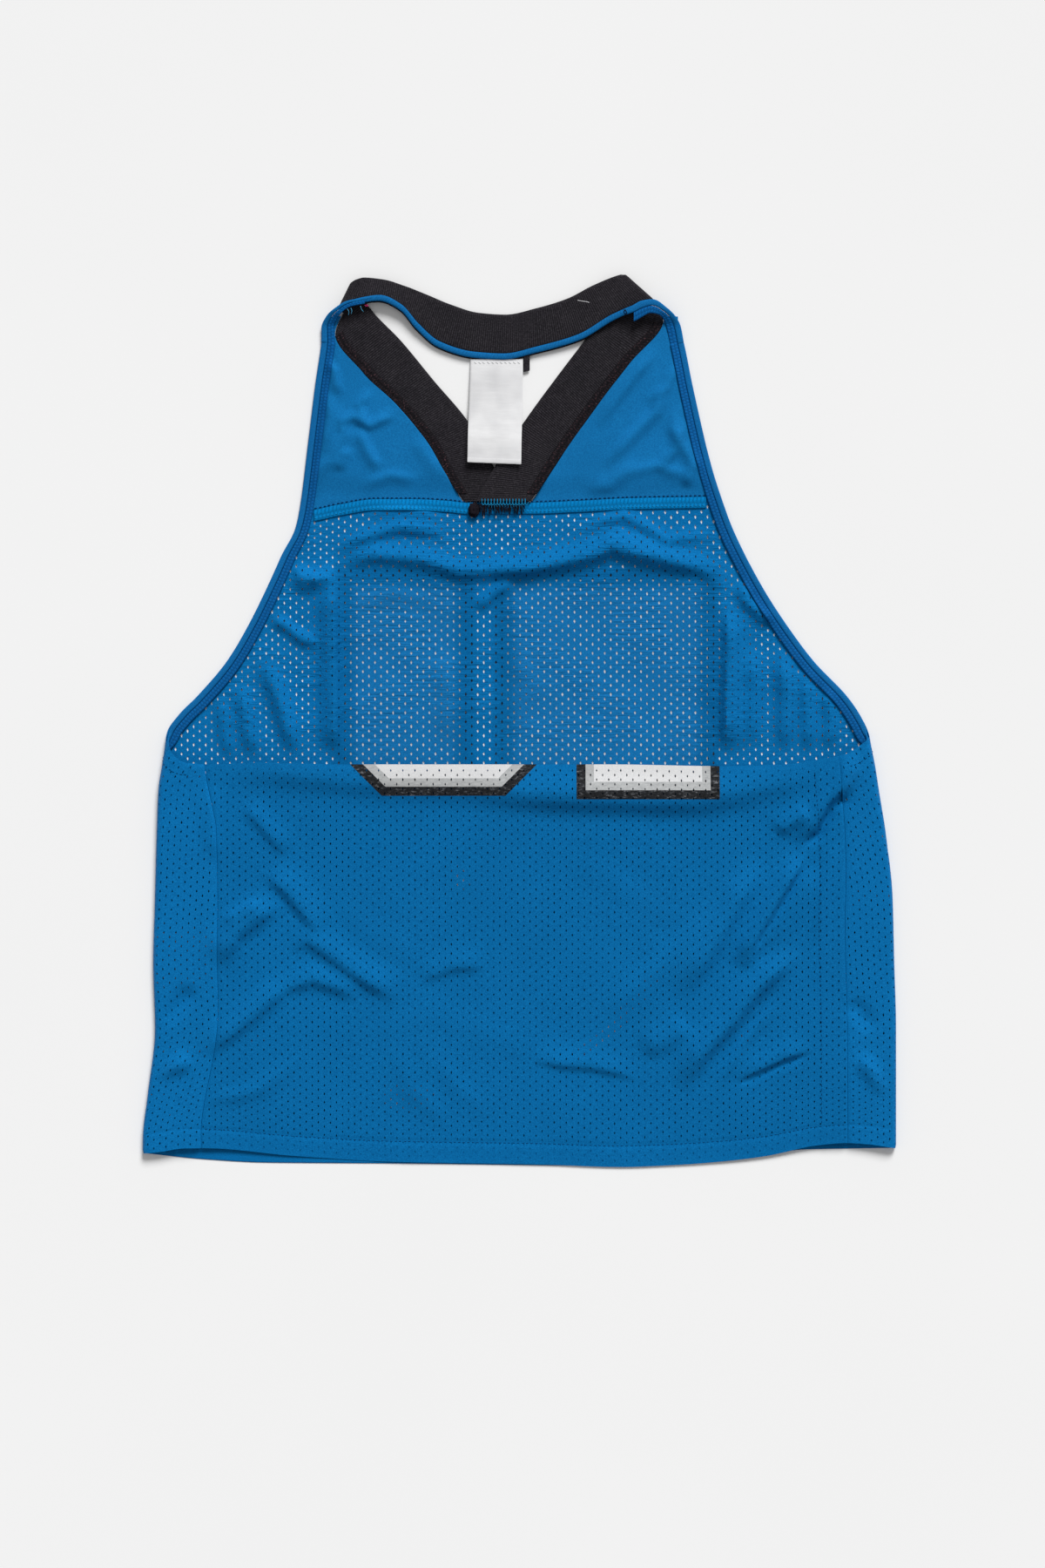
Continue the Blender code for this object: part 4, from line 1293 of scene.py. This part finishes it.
def yoke_place(side, stretch):
    def place(across, along):
        y = mix(SEAM_ROW, YOKE_TOP, along)
        arm = outline[side](y)
        neck = stretch.sewn_x(y) + side * 0.3
        x = mix(arm, neck, across)
        return on_front(x, y + seam_shift(x, y), KNIT_WALL / 2)

    return place


def make_yokes():
    for side, name in SIDES:
        piece = strip_piece(
            f"yoke_{name}_knit", yoke_place(side, stretches[name]), YOKE_ROWS, YOKE_COLUMNS,
            KNIT_WALL, knit_blue, 0.01,
        )
        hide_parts(f"yoke_{name}")


class Ribbon:
    """A long strip held as rows of places across it."""

    def __init__(self, rows):
        self.rows = np.asarray(rows, float)
        far = run_length(self.rows[:, self.rows.shape[1] // 2])
        self.length, self.far = far[-1], far / far[-1]

    def place(self, across, along):
        count, wide = self.rows.shape[:2]
        i = np.interp(along, self.far, np.arange(count))
        j = np.clip(across, 0, 1) * (wide - 1)
        i0 = np.clip(np.floor(i).astype(int), 0, count - 2)
        j0 = np.clip(np.floor(j).astype(int), 0, wide - 2)
        ti, tj = (i - i0)[..., None], (j - j0)[..., None]
        low = mix(self.rows[i0, j0], self.rows[i0, j0 + 1], tj)
        high = mix(self.rows[i0 + 1, j0], self.rows[i0 + 1, j0 + 1], tj)
        return mix(low, high, ti)


def in_from_armhole(side, y, away):
    """Places of the flat front, away from its armhole's edge at the heights y."""
    edge = cloth_edge(side, y)
    run = unit(np.stack([cloth_edge(side, y - 0.5) - edge, np.full_like(y, -0.5)], -1))
    return edge + side * run[..., 1] * away, y - side * run[..., 0] * away


def armhole_rows(side, turned):
    """The binding from the underarm up the armhole and onto the neckband."""
    y = np.concatenate([
        np.linspace(ARM_END[side], -14, 50), np.linspace(-13.8, 2, 40),
        np.linspace(2.4, ARM_TOP, 140),
    ])[:, None]
    across = np.linspace(0, 1, 9)[None]
    u, v = in_from_armhole(side, y, ARM_WIDE * across)
    point = front_place(u, v)
    radius = fold_radius[side](v)
    turn = np.clip(side * (u - fold_start(side, v)) / radius, 0, math.pi)
    into = np.stack([-side * np.sin(turn), 0 * turn, np.cos(turn)], -1)
    rows = point + into * (KNIT_WALL + GAP + BINDING_WALL / 2)
    ends = curve_through(np.vstack([
        np.concatenate([rows[-1, 0, :2], rows[-1, -1, :2], rows[-1, 4, 2:]]), turned,
    ]), 60)[1:]
    share = across[0][None, :, None]
    flat = mix(ends[:, None, :2], ends[:, None, 2:4], share)
    high = np.broadcast_to(ends[:, None, 4:], (*flat.shape[:2], 1))
    return np.concatenate([rows, np.concatenate([flat, high], -1)])


def make_rim_stitches():
    """The binding's stitches, where the strip has turned onto the back."""
    for side, name in SIDES:
        u, v = in_from_armhole(side, np.linspace(ARM_END[side], -9, 120), RIM_STITCH)
        path = front_place(u, v)
        up = lifted(front_place, u, v, np.full_like(u, -1.0)) - path
        stitch_row(
            f"rim_stitches_{name}", path + up * 0.03, up, RIM_THREAD, thread_dark,
            51 + side,
        )


def tape_texture(length, amount=0.07, pitch=1.3, slant=2.0):
    """Slanting low ridges across a tape, with painted highlight on their crests and painted shade
    in their troughs.
    """

    def texture(across, along):
        wave = np.sin(2 * math.pi * (along * length / pitch + slant * across))
        return amount * wave, 0.72 + 0.2 * wave

    return texture


def loop_texture(length, amount=0.26, pitch=1.9):
    """Two staggered rows of thread loops, with painted shade between the loops and painted
    highlight on them.
    """

    def texture(across, along):
        row = np.where(across < 0.5, 0.0, 0.5)
        wave = np.abs(np.sin(math.pi * (along * length / pitch + row + 0.5 * across)))
        middle = np.abs(np.sin(2 * math.pi * across))
        loops = wave**0.6 * (0.35 + 0.65 * middle)
        return amount * (loops - 0.6), np.clip(loops, 0, 1)

    return texture


def make_bindings():
    for side, name, turned in ((LEFT, "left", TURN_LEFT), (RIGHT, "right", TURN_RIGHT)):
        ribbon = Ribbon(armhole_rows(side, turned))

        def tape(across, along, ribbon=ribbon):
            return ribbon.place(across * BINDING_SHARE, along)

        def loops(across, along, ribbon=ribbon):
            return ribbon.place(mix(BINDING_SHARE + 0.01, 1, across), along * 0.985)

        rows = round(ribbon.length / STRIP_STEP)
        if side == RIGHT:
            tape, loops = flipped(tape), flipped(loops)
        piece = strip_piece(
            f"armhole_binding_{name}", tape, rows, 8, BINDING_WALL, binding_blue,
            0.4, tape_texture(ribbon.length), 120,
        )
        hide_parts(f"binding_armhole_{name}")
        strip_piece(
            f"armhole_loops_{name}", loops, rows, 10, LOOPS_WALL, loops_blue,
            0.3, loop_texture(ribbon.length), 120,
        )


def flipped(place):
    """The same strip with its two faces changed over."""
    return lambda across, along: place(1 - across, along)


NECK_STRIP_WIDE = 3.5


def make_neck_strip():
    back = stretches["back"]

    def place_from(near, far, deep):
        def place(across, along):
            free, sewn = back.at(mix(NECK_FROM, NECK_TO, along))
            out = unit((sewn - free) * (1, 1, 0))
            return sewn + out * mix(near, far, across)[..., None] + (0, 0, FLOOR_GAP - deep)

        return place

    length = back.length * (NECK_TO - NECK_FROM)
    piece = strip_piece(
        "neck_strip", place_from(-0.6, NECK_STRIP_WIDE - 0.6, 0.1), round(length / STRIP_STEP), 8,
        1.5, binding_blue, 0.45, tape_texture(length, 0.1, 1.5, 1.0), 120,
    )
    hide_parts("binding_neck")
    strip_piece(
        "neck_serging", place_from(NECK_STRIP_WIDE - 1.6, NECK_STRIP_WIDE + 0.1, 1.6),
        round(length / 0.4), 6, 0.8, serged_black, 0.4,
        loop_texture(length, 0.2, 1.6), 120,
    )


def make_allowance():
    """The yoke seam's overlocked allowance, and the stitches along both of its sides."""
    left = outline[LEFT](SEAM_ROW) + ALLOWANCE_IN
    right = outline[RIGHT](SEAM_ROW) - ALLOWANCE_IN

    def place(across, along):
        x = mix(left, right, along)
        y = yoke_seam(x) - 0.2 - ALLOWANCE_DEEP * across
        return on_front(x, y, MESH_WALL + 0.5)

    length = right - left
    piece = strip_piece(
        "seam_allowance", place, round(length / SERGED_STEP), 12, 0.8, serged_blue,
        0.2, loop_texture(length, 0.16, 2.2), 120,
    )
    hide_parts("yoke_seam")
    x = np.linspace(left, right, 300)
    path = on_front(x, yoke_seam(x) + 0.35, KNIT_WALL + 0.08)
    up = np.tile((0.0, 0.0, 1.0), (len(x), 1))
    stitch_row("yoke_stitches", path, up, YOKE_THREAD, thread_dark, 11)
    path = on_front(x, yoke_seam(x) - 5.4, MESH_WALL + 0.98)
    stitch_row(
        "allowance_stitches", path, up, ALLOWANCE_THREAD, thread_teal, 12, 0.6
    )


# ---------------------------------------------------------------- the V's point


ZIGZAGS = 15
BAND_END = 123.4      # where the cut ends of the two bands lie
KNOT_MIDDLE, KNOT_SIZE = (-26.2, 120.0, 2.8), (3.0, 3.9, 1.5)


def make_point():
    """What holds the two bands at the V's point: zigzag thread, fringe and a knot."""
    x = np.linspace(-22, 4.6, 220)
    turn = np.linspace(0, ZIGZAGS * 2 * math.pi, len(x))
    y = 124.3 + 1.7 * np.sin(turn)
    high = 4.5 + 0.25 * np.cos(np.linspace(0.4, ZIGZAGS * 2 * math.pi, len(x)))
    zigzag = np.stack([x + 0.5 * np.cos(turn), y, high], -1)
    tubes("zigzag_thread", [zigzag], 0.2, thread_teal)

    draw = np.random.default_rng(21)
    fringe = []
    for start in np.linspace(-28, 2.5, 74):
        length = draw.uniform(2.5, 7.5)
        aside = draw.uniform(-1.6, 1.6)
        root = np.array([start + draw.uniform(-0.4, 0.4), BAND_END, 2.6 + draw.uniform(-0.3, 1.0)])
        middle = root + (aside * 0.5, -length * 0.55, 0.4)
        tip = root + (aside, -length, draw.uniform(-0.6, 0.1))
        fringe.append(curve_through([root, middle, tip], 6))
    tubes("band_fringe", fringe, 0.27, fringe_dark, 5)

    ends = []
    for start in np.linspace(-18, 1, 13):
        tip = (start + draw.uniform(-1, 1), 119.5 + draw.uniform(-1.5, 1.5), 2.4)
        ends.append(curve_through([(start, BAND_END, 4.6), (start + 0.5, 121.5, 4.0), tip], 6))
    tubes("zigzag_ends", ends, 0.13, thread_teal, 5)

    turns, sides = 22, 14
    polar = math.pi * np.arange(turns + 1)[:, None] / turns
    around = 2 * math.pi * np.arange(sides) / sides
    flat = np.sin(polar)
    ways = np.stack(
        [flat * np.cos(around), flat * np.sin(around), np.cos(polar) + 0 * around], -1
    ).reshape(-1, 3)
    rough = np.array([1 + 0.5 * noise.noise(Vector(way * 3.1)) for way in ways])[:, None]
    rows = np.array(KNOT_MIDDLE) + ways * rough * KNOT_SIZE
    index = np.arange(len(rows)).reshape(turns + 1, sides)
    quads = np.stack([
        index[:-1], index[1:], np.roll(index[1:], -1, 1), np.roll(index[:-1], -1, 1)
    ], -1).reshape(-1, 4)
    make_piece("band_knot", rows, quads.tolist(), fringe_dark, sharp=120)


def make_serging():
    """Overlocked threads along the sewn edge of the two front bands."""
    for name, turned in (("left", 1), ("right", -1)):
        stretch = stretches[name]

        def place(across, along, stretch=stretch):
            free, sewn = stretch.at(mix(SERGED_FROM, SERGED_TO, along))
            point = sewn + unit(sewn - free) * mix(-5.2, 0.5, across)[..., None]
            return point + (0, 0, FLOOR_GAP + RIB_WALL + 0.1)

        if turned < 0:
            place = flipped(place)
        length = stretch.length * (SERGED_TO - SERGED_FROM)
        strip_piece(
            f"band_serging_{name}", place, round(length / SERGED_STEP), 12, 0.7, serged_black,
            0.3, loop_texture(length, 0.3, 1.5), 120,
        )


# ---------------------------------------------------------------- prints, hems and seams


PRINT_STEP, PRINT_WALL = 1.6, 0.04
TURNING_WALL = 0.25


def make_prints():
    """The films of the front's two printed blocks, on its outside."""
    for block, name in zip(FRONT_BLOCKS, ("left", "right")):
        def place(across, along, block=block):
            x = mix(block.middle - block.half, block.middle + block.half, across)
            y = mix(block.foot, block.top, along)
            point = front_place(x, y)
            rise = point[..., 2] - FLOOR_GAP
            point[..., 2] = 0.4 * FLOOR_GAP + 0.8 * rise - 0.15 * ease(rise / 0.5)
            return point

        columns = round(block.half * 2 / PRINT_STEP)
        rows = round((block.top - block.foot) / PRINT_STEP)
        strip_piece(
            f"front_print_{name}", place, rows, columns, PRINT_WALL, film_look, 0.002
        )


def make_hems():
    """The turnings inside the hems, and the stitches of the hems and side seams."""
    def fold(surface, low, high, name, lift):
        def place(across, along):
            v = mix(HEM_ROW + 0.4, HEM_ROW + HEM_DEPTH - 0.6, across)
            return surface(mix(low, high, along), v) + (0, 0, lift)

        strip_piece(name, place, 260, 6, TURNING_WALL, mesh_hem, 0.1)

    left, right = side_seam(LEFT, HEM_ROW) + 1.5, side_seam(RIGHT, HEM_ROW) - 1.5
    fold(back_place, left, right, "back_hem_fold", -MESH_WALL - 0.3)
    low, high = fold_start(LEFT, HEM_ROW) + 2, fold_start(RIGHT, HEM_ROW) - 2
    fold(front_place, low, high, "front_hem_fold", MESH_WALL + 0.25)

    def row(u, v, name, seed, surface):
        path = surface(u, v)
        up = lifted(surface, u, v, np.ones_like(path[..., 0])) - path
        stitch_row(
            name, path + up * 0.02, up, HEM_THREAD, thread_blue, seed
        )

    line = np.full(500, HEM_ROW + HEM_DEPTH)
    row(np.linspace(left, right, 500), line, "back_hem_stitches", 31, back_place)
    for side, name in SIDES:
        start = fold_start(side, HEM_ROW + HEM_DEPTH)
        curl = math.pi * fold_radius[side](HEM_ROW)
        u = np.linspace(start + side * curl, start + side * (reach[side](HEM_ROW) - 1.2), 60)
        if side == RIGHT:
            u = u[::-1]
        row(u, line[:60], f"side_hem_stitches_{name}", 32 + side, front_place)

    heights = np.linspace(HEM_ROW + HEM_DEPTH + 2, BACK_ROW - 6, 300)
    seam = side_seam(RIGHT, heights) - ALLOWANCE[RIGHT]
    row(seam, heights, "seam_stitches_right", 36, back_place)
    start = fold_start(LEFT, heights)
    past = reach[LEFT](heights) - ALLOWANCE[LEFT]
    row((start - past)[::-1], heights[::-1], "seam_stitches_left", 37, front_place)


# ---------------------------------------------------------------- label and threads

LABEL_WALL = 0.35
LABEL = [
    (147, -29.8, 1, 4.9), (153, -29.7, 1.1, 4.5), (160, -29.6, 1.2, 4.1),
    (168, -29.4, 1.4, 3.2), (173, -29.2, 1.5, 2.6), (181, -28.8, 1.7, 1.9),
    (190, -28.5, 1.8, 1.5), (198, -28.2, 1.9, 1.2), (206.4, -28, 2, 0.6),
]
label_left, label_right, label_z = (profile(LABEL, i) for i in (1, 2, 3))


def label_look():
    look = Look("Satin white", 0.42, specular=0.35)
    threads = look.node("TexWave", Vector=look.coordinates(1), bands_direction="Y", Scale=1.3)
    tone = look.ramp(look.noise(0.06), (0.3, linear(206, 206, 208)), (0.7, linear(228, 228, 229)))
    creased = look.noise((0.05, 0.25, 0.2))
    return look.wear(tone, look.bump(creased, 0.15, look.bump(threads.outputs[1], 0.03)))


def make_label():
    """The care label, its stitches and turned end, and the tape's end above it."""
    def place(across, along):
        y = mix(LABEL[0][0], LABEL[-1][0], along)
        x = mix(label_left(y), label_right(y), across)
        y = y - 1.2 * across * (1 - along)
        bow = 0.5 * np.sin(math.pi * across) * ease(along / 0.3)
        return np.stack([x, y, label_z(y) + 0.75 + bow], -1)

    white = label_look()
    piece = strip_piece("label", place, 80, 30, LABEL_WALL, white, 0.02)
    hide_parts("care_label")

    share = np.linspace(0.05, 0.95, 80)
    path = place(share, np.full(80, 0.965)) + (0, 0, 0.2)
    up = np.tile((0.0, 0.0, 1.0), (80, 1))
    stitch_row(
        "label_stitches", path, up, LABEL_THREAD, thread_white, 41, 1.2
    )

    def folded(across, along):
        return place(along, mix(0.004, 0.045, across)) + (0, 0, 0.24)

    strip_piece("label_hem", folded, 40, 6, 0.14, white, 0.3)

    def tape(across, along):
        x = mix(2.3, 5.9, across)
        y = mix(199.4, 208.5, along) + 0.25 * (x - 4)
        return np.stack([x, y, 0 * x + 1.3 + 0.4 * along], -1)

    strip_piece("tape_end", flipped(tape), 30, 8, 0.7, rib_black, 0.15)


# Loose threads: thickness, look, slot, and each one's places and count of points.
LOOSE = {
    "lint": (0.16, thread_white, "white_satin", [
        ([(33.2, 239.8, 4.9), (36, 239.2, 5.4), (38.3, 238.9, 5.2), (40.2, 238.4, 5.0)], 16),
    ]),
    "thread_pink": (0.16, thread_look("Thread pink", linear(190, 52, 112)), "blue_binding", [
        ([(-88.6, 236.8, 7.2), (-87.6, 236, 7.9), (-86.4, 236.6, 7.4)], 12),
        ([(-88.2, 235.7, 7.0), (-87.2, 236.9, 7.8), (-86.6, 235.6, 7.1)], 12),
    ]),
    "thread_ends": (0.14, thread_look("Thread light blue", linear(96, 182, 226)), "blue_binding", [
        ([(-96.5, 235.2, 7.6), (-95.9, 233.4, 7.2), (-96.4, 231.6, 6.4)], 10),
        ([(-98.6, 234.6, 7.6), (-97.6, 232.8, 6.9), (-97.9, 230.9, 6.0)], 10),
        ([(-91, 236.3, 7.6), (-90.4, 234.4, 7.0), (-89.2, 233, 6.2)], 10),
    ]),
    "tab_knot": (0.3, thread_look("Thread navy", linear(12, 30, 58)), "blue_binding", [
        ([
            (59.6, 233.9, 8.6), (60.6, 233.2, 9.6), (61.4, 232, 9.9), (60.4, 231.4, 9.2),
            (59.7, 232.6, 9.4), (60.9, 233.8, 9.3),
        ], 30),
    ]),
}


def make_loose_threads():
    for name, (radius, look, slot, threads) in LOOSE.items():
        paths = [curve_through(points, count) for points, count in threads]
        tubes(name, paths, radius, look)


# ---------------------------------------------------------------- stage


SKY_STRENGTH, SUN_STRENGTH = 0.36, 3.4
SUN_PLACE, SUN_SPREAD = (0.6, 1.92, 1.5), 26
FLOOR = 4.0
CAMERA_PLACE, LENS, SENSOR = (0.00175, -0.03725, 2.125), 85, 36


def make_stage():
    mesh = bpy.data.meshes.new("floor")
    corners = [(x * FLOOR, y * FLOOR, 0) for x, y in ((-1, -1), (1, -1), (1, 1), (-1, 1))]
    mesh.from_pydata(corners, [], [(0, 1, 2, 3)])
    floor = bpy.data.objects.new("floor", mesh)
    look = Look("Floor pale", 0.8, specular=0.2)
    tone = look.ramp(look.noise(0.004), (0.3, (0.875,) * 3), (0.7, (0.885,) * 3))
    mesh.materials.append(look.wear(tone))
    bpy.context.scene.collection.objects.link(floor)

    scene = bpy.context.scene
    world = bpy.data.worlds.new("studio")
    scene.world = world
    world.use_nodes = True
    sky = world.node_tree.nodes["Background"].inputs
    sky["Color"].default_value = (1, 1, 1, 1)
    sky["Strength"].default_value = SKY_STRENGTH
    light = bpy.data.lights.new("key", "SUN")
    light.angle, light.energy = math.radians(SUN_SPREAD), SUN_STRENGTH
    lamp = bpy.data.objects.new("key", light)
    lamp.location = SUN_PLACE
    lamp.rotation_euler = (-Vector(SUN_PLACE)).to_track_quat("-Z", "Y").to_euler()
    scene.collection.objects.link(lamp)

    camera = bpy.data.objects.new("camera", bpy.data.cameras.new("camera"))
    camera.data.lens = LENS
    camera.data.sensor_width = SENSOR
    camera.data.clip_end = 20
    camera.location = CAMERA_PLACE
    scene.collection.objects.link(camera)
    scene.camera = camera
    scene.view_settings.view_transform = "Standard"


make_front()
make_back()
make_yokes()
make_neckband()
make_bindings()
make_rim_stitches()
make_neck_strip()
make_allowance()
make_serging()
make_point()
make_prints()
make_hems()
make_label()
make_loose_threads()
make_stage()
